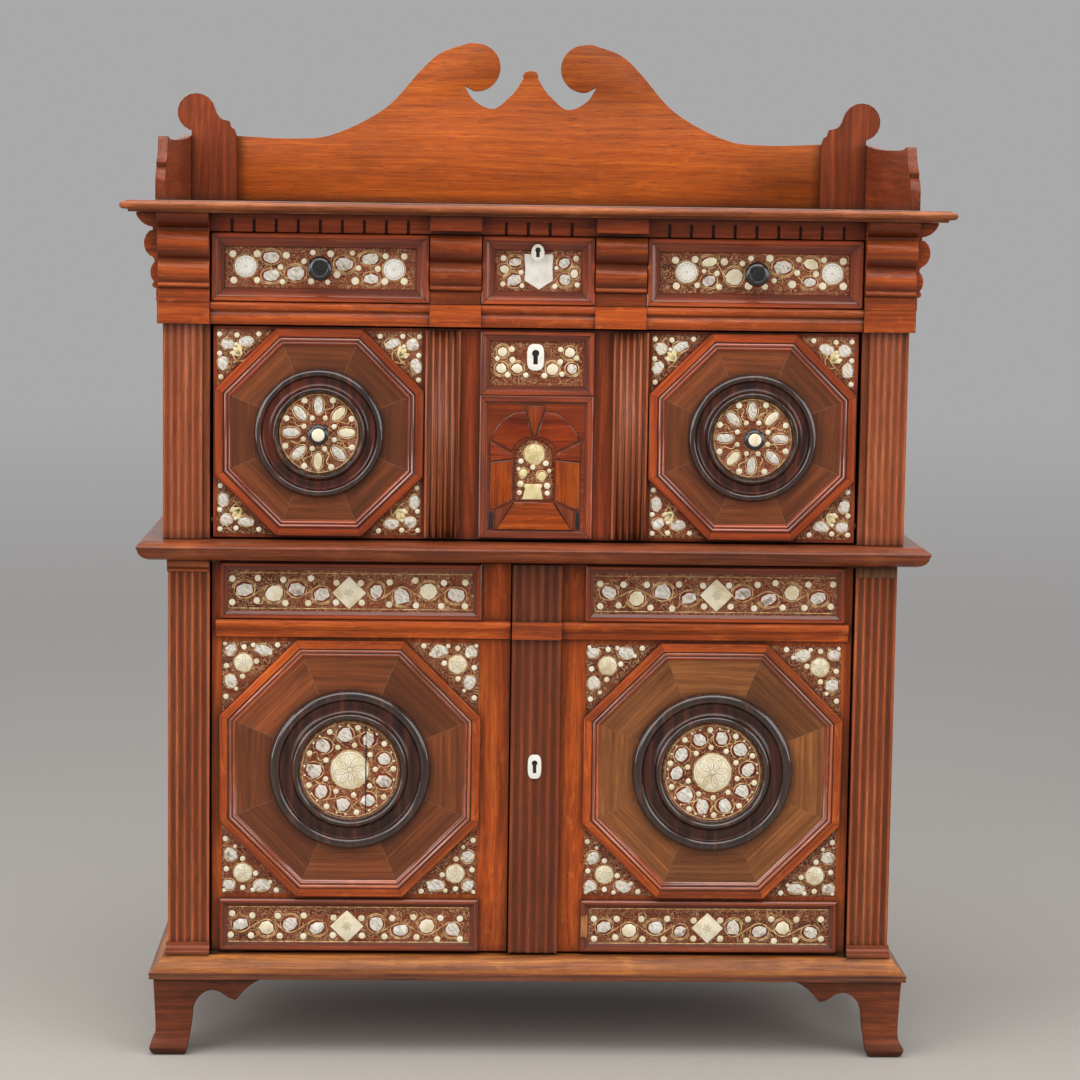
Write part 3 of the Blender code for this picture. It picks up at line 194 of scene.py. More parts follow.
def floorMaterial():
    place = newMaterial("studio_floor")
    speck = noise(place, 90, 3)
    colour = blend(.05, studio["near"], ramp(speck, (.3, (.2, .2, .2, 1)), (.7, (.9, .9, .9, 1))), "OVERLAY")
    closeMaterial(colour, fade(speck, .3, .7, .75, .9), speck, .05, .0005)
    away = addNode("VectorMath", {"operation": "LENGTH"}, Vector=place).outputs["Value"]
    away = div(away, add(away, studio["fadeHalf"]))
    amount = mul(seenRay(), maths("SMOOTH_MAX", fade(away, .1, .75), 0.0, .1))
    far = addNode("Emission", Color=studio["floor"], Strength=1.0)  # the floor runs into the backdrop's tone
    out = tree.get_output_node("CYCLES")
    mixInto(out, amount, out.inputs[0].links[0].from_socket, far.outputs[0])
    return making


def setStudio():
    scene.world = bpy.data.worlds.new("studio")
    startTree(scene.world)
    light = addNode("Background", Color=(1, 1, 1, 1), Strength=studio["sky"])
    shown = addNode("Background", Color=studio["floor"], Strength=1.0)
    mixInto(addNode("OutputWorld"), seenRay(), light.outputs[0], shown.outputs[0])
    bpy.ops.mesh.primitive_circle_add(vertices=96, radius=studio["floorSize"], fill_type="NGON")
    floor = bpy.context.object
    floor.name = "studio_floor"
    floor.data.materials.append(floorMaterial())
    for name, (place, aim, size, watts) in lamps.items():
        bpy.ops.object.light_add(type="AREA", location=place)
        lamp = bpy.context.object
        lamp.name = name
        lamp.data.shape, lamp.data.size, lamp.data.size_y = "RECTANGLE", *size
        lamp.data.energy = watts
        lamp.rotation_euler = (Vector(aim) - Vector(place)).to_track_quat("-Z", "Y").to_euler()
    print("camera, floor and", len(lamps), "lamps set")


# woods: dark, middle and light tone, roughness, closeness of the lines, pores, clouding, wear, pale rays
woods = {
    "galleryOak": ((116, 50, 8), (150, 72, 13), (174, 95, 25), .34, 85, .65, .46, .2, .25),
    "orangeOak": ((92, 34, 7), (156, 66, 16), (196, 102, 38), .34, 80, .5, .52, .22, .4),
    "frameOak": ((84, 28, 7), (150, 58, 17), (188, 90, 34), .30, 90, .4, .5, .22, 0),
    "redOak": ((66, 22, 9), (128, 49, 19), (164, 78, 36), .30, 90, .4, .52, .22, 0),
    "earOak": ((58, 22, 10), (104, 42, 19), (140, 68, 36), .32, 90, .4, .5, .22, 0),
    "brownOak": ((126, 60, 33), (166, 87, 50), (196, 118, 75), .36, 34, .5, .3, .1, 0),
    "darkOak": ((86, 38, 20), (120, 56, 31), (146, 76, 45), .36, 36, .5, .34, .14, 0),
    "edgeOak": ((70, 31, 14), (128, 67, 32), (184, 116, 68), .36, 90, .5, .5, .55, 0),
    "waistOak": ((58, 23, 10), (114, 51, 23), (154, 84, 46), .32, 90, .5, .5, .55, 0),
    "honeyOak": ((80, 40, 13), (142, 83, 32), (196, 129, 58), .36, 80, .5, .48, .55, 0),
    "footOak": ((38, 16, 9), (96, 43, 20), (132, 66, 34), .46, 90, .5, .56, .45, 0),
    "fieldWood": ((62, 31, 15), (105, 55, 27), (141, 78, 38), .40, 90, .35, .55, .22, 0),
    "panelWood": ((66, 20, 6), (122, 43, 13), (160, 70, 27), .28, 70, .3, .52, .22, 0),
    "fieldGold": ((80, 48, 21), (124, 78, 40), (161, 110, 62), .40, 90, .35, .55, .22, 0),
    "seatWood": ((66, 22, 11), (118, 43, 21), (146, 66, 34), .40, 110, .3, .4, .22, 0),
    "groundWood": ((62, 23, 12), (112, 46, 24), (142, 70, 38), .42, 110, .3, .4, .22, 0),
    "sideOak": ((64, 27, 12), (116, 53, 24), (152, 80, 42), .34, 80, .5, .5, .3, 0),
    "dryOak": ((112, 80, 50), (158, 120, 80), (188, 152, 110), .6, 70, .5, .25, .22, 0),
    "backOak": ((74, 48, 31), (112, 76, 49), (140, 102, 70), .65, 70, .55, .35, .22, 0),
    "scarOak": ((72, 44, 28), (112, 74, 49), (142, 102, 72), .6, 80, .5, .4, .22, 0),
    "paleScar": ((142, 92, 54), (184, 128, 80), (206, 156, 108), .6, 80, .5, .3, .22, 0),
}
grainTurns = {"x": (0, 0, 0), "xy": (0, 0, 0), "y": (0, 0, math.pi / 2), "z": (0, math.pi / 2, 0)}


def woodGrain(vec, kind):
    *tones, rough, thick, poreDepth, clouding, worn, rays = woods[kind]
    dark, middle, light = (paint(*tone) for tone in tones)
    drift = addNode("TexNoise", Vector=stretch(vec, (1.0, 3, 3)), Scale=2.4, Detail=2.0).outputs["Color"]
    bent = maths("MULTIPLY_ADD", drift, (0, .03, .03), vec, kind="VectorMath")
    lines = noise(stretch(bent, (3.0, thick * 1.5, thick * 1.5)), 1.0, 6.0, .62)
    fibre = noise(stretch(bent, (18, 640, 640)), 1.0)
    pores = fade(noise(stretch(bent, (42, 1150, 1150), (3, 1, 2)), 1.0, 1.0), .60, .70)
    cloud = noise(stretch(vec, (3.2, 6, 6), (7, 2, 5)), 1.0, 3.0)
    colour = ramp(lines, (.27, dark), (.5, middle), (.75, light))
    patch = noise(stretch(vec, (11, 19, 19), (1, 6, 3)), 1.0, 5.0, .62)  # places worn pale and places gone dark
    colour = blend(fade(patch, .56, .70, 0, worn), colour, light)
    colour = blend(fade(patch, .44, .29, 0, worn * 1.3), colour, dim(dark, .6))
    if rays:  # the pale rays of quartered oak
        fleck = noise(stretch(vec, (46, 105, 105), (4, 9, 2), (0, 0, .5)), 1.0)
        colour = blend(fade(fleck, .60, .68, 0, rays), colour, light)
    colour = blend(clouding, colour, ramp(cloud, (.3, (.16, .14, .13, 1)), (.7, (.86, .82, .80, 1))), "OVERLAY")
    colour = blend(.30, colour, ramp(fibre, (.3, (.1, .1, .1, 1)), (.7, (.9, .9, .9, 1))), "OVERLAY")
    colour = blend(mul(pores, poreDepth), colour, dim(dark, .30))
    rough = add(fade(cloud, .3, .7, -.06, .07), mulAdd(pores, .22, rough))
    return colour, rough, mulAdd(pores, -.6, mulAdd(fibre, .35, mul(lines, .5)))


# painted shade in the hollows and between parts, also standing for old wax there; the edges are painted paler, as wear
# and as painted highlight
def waxShadeAndEdgeSheen(colour):
    # painted shade: darker where other surfaces stand near
    colour = blend(fade(hollows(.018), .38, .95, .88, 0), colour, (24, 12, 10))
    # paler sharp edges: wear and painted highlight
    worn = fade(hollows(.004, 1, only_local=True, inside=True), .42, .72, 0, .35)
    lifted = blend(.5, colour, (205, 140, 96), "SOFT_LIGHT")
    return blend(worn, colour, blend(.22, lifted, (196, 126, 84)))


# a moulded edge is mitred at the corners, so its grain turns with it
def alongReturns(place):
    turned = over(absolute(axes(addNode("NewGeometry").outputs["True Normal"])[0]), .6)
    x, y, z = axes(place)
    swap = mul(sub(y, x), turned)
    return fromAxes(add(x, swap), sub(y, swap), z)


def wood(kind, along, shift, gloss=.08, fluteShade=None, sill=None, undersideShade=0):
    name = f"{kind}_{along}_{shift}"
    if name in bpy.data.materials:
        return bpy.data.materials[name]
    place = newMaterial(name)
    run = alongReturns(place) if along == "xy" else place
    vec = stretch(run, shift=(shift * .37, shift * .71, shift * .53), turn=grainTurns[along])
    colour, rough, height = woodGrain(vec, kind)
    colour = waxShadeAndEdgeSheen(colour)
    if fluteShade:  # painted shade in the flutes, with old polish left there too, by their depth below the face
        face, deep, amount = fluteShade
        colour = blend(fade(axes(place)[1], face + .0007, face + deep, 0, amount), colour, (44, 19, 13))
    if sill:  # painted shade below a level, with more polish there, as a fillet or a toe goes
        top, soft, amount, shine = sill
        level = axes(place)[2]
        colour = blend(fade(level, top, top + soft, amount, 0), colour, (66, 33, 22))
        gloss = fade(level, top, top + soft, shine, gloss)
    if undersideShade:  # painted shade under a roll: faces turned down are darker
        facing = axes(addNode("NewGeometry").outputs["Normal"])[2]
        colour = blend(fade(facing, .15, -.65, 0, undersideShade), colour, (70, 24, 9))
    return closeMaterial(colour, rough, height, .35, .0008, Specular_IOR_Level=.18, Coat_Weight=gloss,
                         Coat_Roughness=.16)


def dress(name, material):
    piece = nodes[name]
    piece.data.materials.clear()
    piece.data.materials.append(material)
    piece.modifiers.new("weld", "WELD").merge_threshold = weldGap
    soften = piece.modifiers.new("soften", "BEVEL")
    soften.width, soften.segments, soften.limit_method, soften.angle_limit = .0009, 2, "ANGLE", math.radians(38)
    even = piece.modifiers.new("even", "WEIGHTED_NORMAL")
    even.weight, even.keep_sharp = 60, False


setCamera()
setStudio()

# node, or a left and right pair: wood, grain, shift between boards, then gloss, painted shade in the flutes, painted
# shade below a fillet, painted shade on the underside
plainNodes = {
    "foot_back": ("footOak", "z", 3), "lower_side": ("sideOak", "z", 4), "upper_side": ("sideOak", "z", 7),
    # the base board's front fillet is painted darker: painted shade below its lit top
    "base_board": ("honeyOak", "xy", 1, .15, None, (.1272, .0012, .6, .9)), "waist_board": ("waistOak", "xy", 2, .3),
    "cornice_board": ("edgeOak", "xy", 3, .2), "corner_corbel": ("orangeOak", "xy", 1, .22, None, None, .85),
    "frieze_corbel": ("orangeOak", "x", 3, .22, None, None, .85), "frieze_rail": ("orangeOak", "x", 5, .22),
    # the gallery sides take the dark ear wood as painted shade; the dentil rail takes the red wood, partly as painted
    # shade under the cornice
    "dentil_rail": ("redOak", "xy", 12, .2), "gallery_side": ("earOak", "y", 2), "gallery_ear": ("earOak", "z", 4),
    "frieze_box": ("dryOak", "xy", 7), "secretaire_box": ("dryOak", "xy", 8), "pigeonholes": ("dryOak", "x", 9),
    "lower_pilaster": ("brownOak", "z", 1, .12, (-.2165, .0023, .62)),
    "upper_pilaster": ("brownOak", "z", 3, .12, (-.2235, .0023, .42)),
    "centre_pilaster": ("darkOak", "z", 5, .12, (-.2175, .0023, .45)),
}
for stem, (kind, along, shift, *finish) in plainNodes.items():
    for i, name in enumerate([stem] if stem in nodes else [stem + "_left", stem + "_right"]):
        dress(name, wood(kind, along, shift + i, *finish))
print("woods on the plain nodes")


# mitred boards: grain follows each side of a frame, a dark hairline at every mitre
def fromCentre(place, centre):
    return axes(stretch(place, shift=(-centre[0], 0, -centre[1])))


def spread(x, z):
    return maths("SQRT", add(mul(x, x), mul(z, z)))


def mitredWood(name, kind, centre, half, shadeSpan):
    place = newMaterial(name)
    x, y, z = fromCentre(place, centre)
    u, v = sub(absolute(x), half[0]), sub(absolute(z), half[1])
    upright = over(u, v)
    level = sub(1.0, upright)
    run = mulAdd(upright, 3.1, add(mul(x, level), mul(z, upright)))
    side = add(mul(z, level), mul(x, upright))
    colour, rough, height = woodGrain(fromAxes(run, side, y), kind)
    colour = blend(fade(axes(place)[1], *shadeSpan, 0, .5), waxShadeAndEdgeSheen(colour), (52, 24, 17))  # painted shade, darker down the inner slope
    colour = blend(fade(absolute(sub(u, v)), .0002, .0009, .8, 0), colour, (34, 16, 12))
    return closeMaterial(colour, rough, height, .3, .0008, Specular_IOR_Level=.2, Coat_Weight=.4, Coat_Roughness=.14,
                         Coat_IOR=1.75)


def octagonWood(name, kind, centre, seam, gloss, band=None):
    x, y, z = fromCentre(newMaterial(name), centre)
    angle, reach = maths("ARCTAN2", z, x), spread(x, z)
    index = maths("ROUND", div(angle, math.pi / 4))
    local = sub(angle, mul(index, math.pi / 4))
    index = maths("FLOORED_MODULO", index, 8.0)  # left side is +4 and -4
    across = mul(reach, maths("COSINE", local))
    run = mulAdd(index, 1.7, mul(reach, maths("SINE", local)))
    gap = mul(reach, maths("SINE", sub(math.pi / 8, absolute(local))))
    colour, rough, height = woodGrain(fromAxes(run, across, y), kind)
    tint = anyTint(add(index, centre[0] * 31), (.22, .19, .19, 1), (.70, .68, .64, 1))
    colour = waxShadeAndEdgeSheen(blend(.6, colour, tint, "OVERLAY"))
    colour = blend(fade(gap, .0002, .0007, .6, 0), colour, seam)
    if band:  # the polish stands on the bead, the flat outside it is duller
        gloss = fade(across, band - .0006, band + .0006, gloss, .12)
    return closeMaterial(colour, rough, height, .3, .0008, Specular_IOR_Level=.2, Coat_Weight=gloss,
                         Coat_Roughness=.14, Coat_IOR=1.85)


# bone, mother-of-pearl, wire and the ground they lie in
def boneMaterial(name, *tones):
    place = newMaterial(name)
    cloud, fine = noise(place, 60, 3), noise(stretch(place, (1, 1, 6)), 420)
    colour = blend(fade(fine, .56, .72, 0, .35), ramp(cloud, *zip((.3, .52, .72), tones)), (164, 134, 88))
    # painted shade in the hollows of the bone
    colour = blend(fade(hollows(.002, only_local=True), .3, .85, .5, 0), colour, (112, 80, 46))
    return closeMaterial(colour, fade(cloud, .3, .7, .42, .30), fine, .2, .0003, Coat_Weight=.15, Coat_Roughness=.2)


def pearlMaterial():
    place = newMaterial("mother_of_pearl")
    layers = addNode("TexWave", {"bands_direction": "DIAGONAL"}, Vector=place, Scale=70.0, Distortion=9.0, Detail=2.0,
                     Detail_Scale=1.4).outputs["Fac"]
    tints = ramp(noise(place, 70, 3), (.3, (154, 143, 128)), (.45, (228, 216, 202)), (.56, (198, 194, 180)),
                 (.7, (246, 239, 228)))
    colour = blend(.35, tints, ramp(layers, (.2, (.35, .33, .32, 1)), (.8, (.9, .89, .87, 1))), "OVERLAY")
    # painted shade in the hollows of the pearl
    colour = blend(fade(hollows(.003), .3, .85, .5, 0), colour, (84, 60, 40))
    return closeMaterial(colour, fade(layers, 0, 1, .16, .26), layers, .12, .0004, Coat_Weight=.4, Coat_Roughness=.1)


def wireMaterial():
    dull = noise(newMaterial("brass_wire"), 140, 3)
    colour = ramp(dull, (.35, (146, 104, 60)), (.55, (206, 168, 112)), (.7, (230, 200, 148)))
    return closeMaterial(colour, fade(dull, .3, .7, .5, .34), dull, .1, .0003, Metallic=.25)


def groundMaterial():
    place = newMaterial("inlay_ground")
    colour, rough, height = woodGrain(place, "groundWood")
    curls = maths("FRACT", mul(noise(place, 105, 1.5, .45), 7.0))
    line = fade(absolute(sub(curls, .5)), .10, .24, 1, 0)  # hair-fine wire scrolls let into the ground
    tone = ramp(noise(place, 60), (.35, (142, 100, 62)), (.65, (212, 174, 124)))
    colour = blend(mul(line, .62), colour, tone)
    return closeMaterial(colour, rough, mulAdd(line, .5, height), .3, .0006, Specular_IOR_Level=.35)


def seatMaterial():  # the plain red wood round each gem
    return closeMaterial(*woodGrain(newMaterial("gem_seat"), "seatWood"), .3, .0005, Specular_IOR_Level=.3)


def metalMaterial(name, rough, metallic, *tones):
    place = newMaterial(name)
    cloud, fine = noise(place, 45, 4, .6), noise(stretch(place, (1, 1, 9)), 380)
    colour = ramp(cloud, *zip((.32, .52, .72), tones))
    return closeMaterial(colour, fade(cloud, .3, .7, rough + .12, rough - .06), fine, .15, .0003, Metallic=metallic)


def ebonyMaterial():
    streak = noise(stretch(newMaterial("ebony"), (40, 9, 40)), 4.0, 4)
    colour = ramp(streak, (.35, (10, 9, 10)), (.6, (21, 19, 20)), (.8, (38, 33, 31)))
    return closeMaterial(colour, fade(streak, .3, .7, .2, .32), streak, .08, .0004, Coat_Weight=.6, Coat_Roughness=.12)


goldBone = boneMaterial("gold_bone", (208, 186, 126), (234, 217, 162), (243, 231, 188))
bone = boneMaterial("old_bone", (220, 201, 160), (241, 230, 200), (248, 241, 220))
whiteBone = boneMaterial("white_bone", (234, 229, 214), (245, 242, 231), (250, 248, 241))
pearl, wire, ground, ebony = pearlMaterial(), wireMaterial(), groundMaterial(), ebonyMaterial()
brass = metalMaterial("old_brass", .38, .9, (104, 78, 36), (160, 128, 66), (190, 160, 96))
# the pivots take a darker, duller brass: painted shade for the gaps they sit in
shadedBrass = metalMaterial("shaded_brass", .5, .6, (40, 31, 18), (62, 49, 28), (86, 70, 42))
iron = metalMaterial("dark_iron", .5, .8, (38, 34, 32), (66, 60, 56), (92, 84, 78))
wax = metalMaterial("dark_wax", .6, 0, (98, 76, 46), (128, 102, 66), (154, 128, 88))
for name in nodes:
    for part, metal in (("lock", iron), ("pivot", shadedBrass), ("stay", brass)):
        if part in name:
            dress(name, metal)


# modelling helpers
def clear():
    if bpy.context.mode != "OBJECT":
        bpy.ops.object.mode_set(mode="OBJECT")
    bpy.ops.object.select_all(action="DESELECT")


def pick(piece):
    clear()
    piece.select_set(True)
    bpy.context.view_layer.objects.active = piece


def applyAll():
    bpy.ops.object.transform_apply(location=True, rotation=True, scale=True)
    return bpy.context.object


def editAll():
    bpy.ops.object.mode_set(mode="EDIT")
    bpy.ops.mesh.select_mode(type="VERT")
    bpy.ops.mesh.select_all(action="SELECT")


def faceOut():
    bpy.ops.mesh.select_all(action="SELECT")
    bpy.ops.mesh.normals_make_consistent(inside=False)


def pull(*step):
    bpy.ops.mesh.extrude_region_move(TRANSFORM_OT_translate={"value": step})


def pickFaces(piece, test):
    bpy.ops.mesh.select_mode(type="FACE")
    bpy.ops.mesh.select_all(action="DESELECT")
    mesh = bmesh.from_edit_mesh(piece.data)
    mesh.normal_update()
    for face in mesh.faces:
        face.select_set(test(face.calc_center_median(), face.normal))
    bmesh.update_edit_mesh(piece.data)


def finishPiece(piece, name, body, materials, smooth, node=None):
    pick(piece)
    piece.name = piece.data.name = name
    for material in materials:
        piece.data.materials.append(material)
    applyAll()
    bpy.ops.object.shade_smooth_by_angle(angle=math.radians(smooth))
    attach(piece, body)
    if node:
        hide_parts(node)


def joinUp(parts, name, body, material, smooth, node=None):
    clear()
    for part in parts:
        part.select_set(True)
    bpy.context.view_layer.objects.active = parts[0]
    if len(parts) > 1:
        bpy.ops.object.join()
    piece = bpy.context.object
    piece.data.materials.clear()
    finishPiece(piece, name, body, [material], smooth, node)


def drawLine(points):
    clear()
    bpy.ops.mesh.primitive_plane_add(size=.001)
    piece = bpy.context.object
    editAll()
    bpy.ops.mesh.merge(type="CENTER")
    bpy.ops.transform.translate(value=points[0])
    for before, after in zip(points, points[1:]):
        step = tuple(b - a for a, b in zip(before, after))
        bpy.ops.mesh.extrude_vertices_move(TRANSFORM_OT_translate={"value": step})
    bpy.ops.mesh.select_all(action="SELECT")
    return piece


def turnOnLathe(profile, centre, back, steps):  # profile: radius, height from the back
    piece = drawLine([(centre[0] + r, back - h, centre[1]) for r, h in profile])
    bpy.ops.mesh.spin(steps=steps, angle=math.tau, center=(centre[0], 0, centre[1]), axis=(0, 1, 0))
    bpy.ops.mesh.select_all(action="SELECT")
    bpy.ops.mesh.remove_doubles(threshold=weldGap)
    bpy.ops.mesh.normals_make_consistent(inside=False)
    return piece


def sawOut(points, *step):
    piece = drawLine(points)
    bpy.ops.mesh.edge_face_add()
    pull(*step)
    faceOut()
    return piece


def cutPlate(outline, back, thick, soft):
    piece = sawOut([(x, back, z) for x, z in outline], 0, -thick, 0)
    if soft:
        pickFaces(piece, lambda c, n: n.y < -.9)
        bpy.ops.mesh.bevel(offset=soft, segments=2, affect="EDGES")
    return piece


def cutAway(piece, cutter):
    pick(piece)
    cut = piece.modifiers.new("cut", "BOOLEAN")
    cut.object, cut.operation, cut.solver = cutter, "DIFFERENCE", "EXACT"
    bpy.ops.object.modifier_apply(modifier="cut")
    bpy.data.objects.remove(cutter)


def markField(piece):  # the faces left selected take the second material
    mesh = bmesh.from_edit_mesh(piece.data)
    for face in mesh.faces:
        face.material_index = 1 if face.select else 0
    bmesh.update_edit_mesh(piece.data)


# a frame starts as a flat board; each step insets it and moves the new face forward or back
def insetFrame(piece, steps):
    editAll()
    pull(0, -steps[0][1], 0)
    for inward, forward in steps[1:]:
        bpy.ops.mesh.inset(thickness=inward, depth=forward)
    bpy.ops.mesh.select_mode(type="FACE")
    markField(piece)
    return piece


def flatBoard(centre, half, back):
    clear()
    bpy.ops.mesh.primitive_plane_add(size=2, location=(centre[0], back, centre[1]), rotation=(math.pi / 2, 0, 0))
    bpy.context.object.scale = (*half, 1)
    return applyAll()


def flatOctagon(centre, flat, back):
    clear()
    bpy.ops.mesh.primitive_circle_add(vertices=8, radius=flat / math.cos(math.pi / 8), fill_type="NGON",
                                      location=(centre[0], back, centre[1]), rotation=(math.pi / 2, math.pi / 8, 0))
    return applyAll()


def boardFrom(name, front):  # the plain board of a CAD node, its applied work planed off
    piece = bpy.data.objects.new(name, nodes[name].data.copy())
    piece.data.materials.clear()
    scene.collection.objects.link(piece)
    pick(piece)
    editAll()
    bpy.ops.mesh.remove_doubles(threshold=weldGap)
    bpy.ops.mesh.bisect(plane_co=(0, front, 0), plane_no=(0, -1, 0), clear_outer=True, use_fill=True)
    return piece


def drawWires(name, paths, thick):  # one fine tube each
    curve = bpy.data.curves.new(name, "CURVE")
    curve.dimensions, curve.bevel_depth, curve.bevel_resolution = "3D", thick, 1
    for path in paths:
        line = curve.splines.new("POLY")
        line.points.add(len(path) - 1)
        for point, spot in zip(line.points, path):
            point.co = (*spot, 1)
    piece = bpy.data.objects.new(name, curve)
    scene.collection.objects.link(piece)
    pick(piece)
    bpy.ops.object.convert(target="MESH")
    return bpy.context.object


def turns(*span):
    return [math.radians(a) for a in range(*span)]


def polar(x, z, reach, a):
    return x + reach * math.cos(a), z + reach * math.sin(a)


def at(centre, x, z):  # millimetres from a centre
    return centre[0] + x * mm, centre[1] + z * mm


def toScale(points, centre=(0, 0)):
    return [at(centre, x, z) for x, z in points]


# doors, fall and frieze: boards first
boards = {  # body, front, wood, grain, shift
    "left_door": ("left_door", -.2064, "orangeOak", "z", 9), "right_door": ("right_door", -.2064, "orangeOak", "z", 10),
    "fall_board": ("fall", -.2134, "redOak", "z", 7), "frieze_front": ("frieze_drawer", -.2134, "redOak", "x", 6)}
for name, (body, front, *look) in boards.items():
    finishPiece(boardFrom(name, front), name + "_planed", body, [wood(*look)], 30, name)
print("boards planed")

# gallery back: the neck as a bent batten, the curl, the hollow and the finial
gallery = {"foot": 1.2804, "front": .2635, "thick": .0178, "top": 1.5408, "soft": .0008,
           "curl": (.0877, 1.5014, .0384),
           "neck": [(.5480, 1.3900), (.4769, 1.3855), (.3837, 1.3825), (.3180, 1.3908), (.2357, 1.4338),
                    (.1782, 1.4957), (.1453, 1.5244), (.0987, 1.5408)],
           "dip": [(.1080, 1.4715), (.0905, 1.4474), (.0592, 1.4353), (.0285, 1.4595)],
           "finial": [(.0285, 1.4595), (.0196, 1.4716), (.0140, 1.4812), (.0114, 1.4852), (.0124, 1.4870),
                      (.0116, 1.4914), (.0078, 1.4955), (0, 1.4972)]}


def batten(points, steps):
    ends = [[2 * a - b for a, b in zip(points[i], points[j])] for i, j in ((0, 1), (-1, -2))]
    knots, line = [ends[0], *points, ends[1]], [points[0]]
    for a, b, c, d in zip(knots, knots[1:], knots[2:], knots[3:]):
        for i in range(1, steps + 1):
            t = i / steps
            line.append(tuple(.5 * (2 * q + (r - p) * t + (2 * p - 5 * q + 4 * r - w) * t * t
                                    + (3 * q - p - 3 * r + w) * t ** 3) for p, q, r, w in zip(a, b, c, d)))
    return line


def galleryBoard():
    curl = [polar(*gallery["curl"], a) for a in turns(100, 278, 8)]
    half = batten(gallery["neck"], 9) + curl + batten(gallery["dip"], 7) + batten(gallery["finial"], 4)[1:]
    half = [(x, min(z, gallery["top"])) for x, z in half]
    edge, foot = half[0][0], gallery["foot"]
    outline = [(edge, foot)] + half + [(-x, z) for x, z in reversed(half[:-1])] + [(-edge, foot)]
    piece = cutPlate(outline, gallery["front"] + gallery["thick"], gallery["thick"], 0)
    pickFaces(piece, lambda c, n: abs(n.y) > .9)
    bpy.ops.mesh.bevel(offset=gallery["soft"], segments=2, affect="EDGES")
    finishPiece(piece, "gallery_back_sawn", "case", [wood("galleryOak", "x", 1)], 30, "gallery_back")


galleryBoard()

# backs: upright boards with a narrow gap between them
backs = {"boards": {"lower_back": (6, 3), "upper_back": (6, 8)}, "gap": .0011, "near": .0008, "deep": .0018}


def plankMaterial(name, half, count, shift):
    place = newMaterial(name)
    index = maths("FLOOR", mulAdd(axes(place)[0], count / (2 * half), count / 2 + shift))
    moved = maths("ADD", place, fromAxes(mul(index, .37), 0, mul(index, .83)), kind="VectorMath")
    colour, rough, height = woodGrain(stretch(moved, turn=grainTurns["z"]), "backOak")
    colour = blend(.5, colour, anyTint(index, (.34, .33, .32, 1), (.66, .65, .64, 1)), "OVERLAY")
    return closeMaterial(waxShadeAndEdgeSheen(colour), rough, height, .35, .0008, Specular_IOR_Level=.15)


for name, (count, shift) in backs["boards"].items():
    half = max(corner[0] for corner in nodes[name].bound_box)
    seams = [-half + 2 * half * i / count for i in range(1, count)]
    piece = boardFrom(name, -1)
    for seam in seams:
        for edge in (-backs["gap"], backs["gap"]):
            bpy.ops.mesh.select_all(action="SELECT")
            bpy.ops.mesh.bisect(plane_co=(seam + edge, 0, 0), plane_no=(1, 0, 0))
    pickFaces(piece, lambda c, n: n.y > .9 and min(abs(c.x - seam) for seam in seams) < backs["near"])
    pull(0, -backs["deep"], 0)
    planks = name + "_planks"
    finishPiece(piece, planks, "case", [plankMaterial(planks, half, count, shift)], 30, name)

# front feet: two sawn boards that meet at the corner, their faces worked to the splayed toe
foot = {"height": .1168, "leg": .056, "thick": .020, "reach": (.160, .130), "corner": (.5630, -.2345),
        "spring": .50, "crown": (.30, .855), "tip": (.63, .72), "swell": .16, "soft": .0006,
        "splay": [(1.0, 0), (5.0, .03), (7.8, .09), (7.0, .13), (1.8, .20), (-.6, .27), (-1.0, .36), (-.4, .55),
                  (1.0, .80), (2.4, 1)],
        "inner": [(-13.0, 0), (-8.6, .03), (-7.0, .10), (-4.0, .24), (-1.5, .37)]}


def splayAt(up):
    for (a, low), (b, high) in zip(foot["splay"], foot["splay"][1:]):
        if low <= up <= high:
            return (a + (b - a) * (up - low) / (high - low)) * mm
    return 0.0


def footBoard(length, start, turn):
    high, leg, thick, spring = foot["height"], foot["leg"], foot["thick"], foot["spring"]
    (crownAt, crown), (tipAt, low) = foot["crown"], foot["tip"]
    top, tip = leg + (length - leg) * crownAt, leg + (length - leg) * tipAt
    outline = [(-splayAt(up), up * high) for offset, up in reversed(foot["splay"])]
    if start:
        outline = [(start, high), (start, 0)]
    outline += [(leg + offset * mm, up * high) for offset, up in foot["inner"]]
    for a in turns(0, 91, 15):
        outline.append((top - (top - leg) * math.cos(a), high * (spring + (crown - spring) * math.sin(a))))
    for a in turns(45, 181, 45):
        outline.append((top + (tip - top) * a / math.pi, high * (crown - (crown - low) / 2 * (1 - math.cos(a)))))
    for t in (.25, .5, .75, 1):
        rise = t + foot["swell"] * math.sin(math.pi * t)
        outline.append((tip + (length - tip) * t, high * (low + (1 - low) * rise)))
    piece = cutPlate(outline, thick, thick, foot["soft"])
    for offset, up in foot["splay"][1:-1]:
        bpy.ops.mesh.select_all(action="SELECT")
        bpy.ops.mesh.bisect(plane_co=(0, 0, up * high), plane_no=(0, 0, 1))
    mesh = bmesh.from_edit_mesh(piece.data)
    for vert in mesh.verts:
        if vert.co.y < .001:
            vert.co.y -= splayAt(vert.co.z / high)
    bmesh.update_edit_mesh(piece.data)
    clear()
    piece.data.transform(turn)
    editAll()
    bpy.ops.mesh.normals_make_consistent(inside=False)
    clear()
    return piece


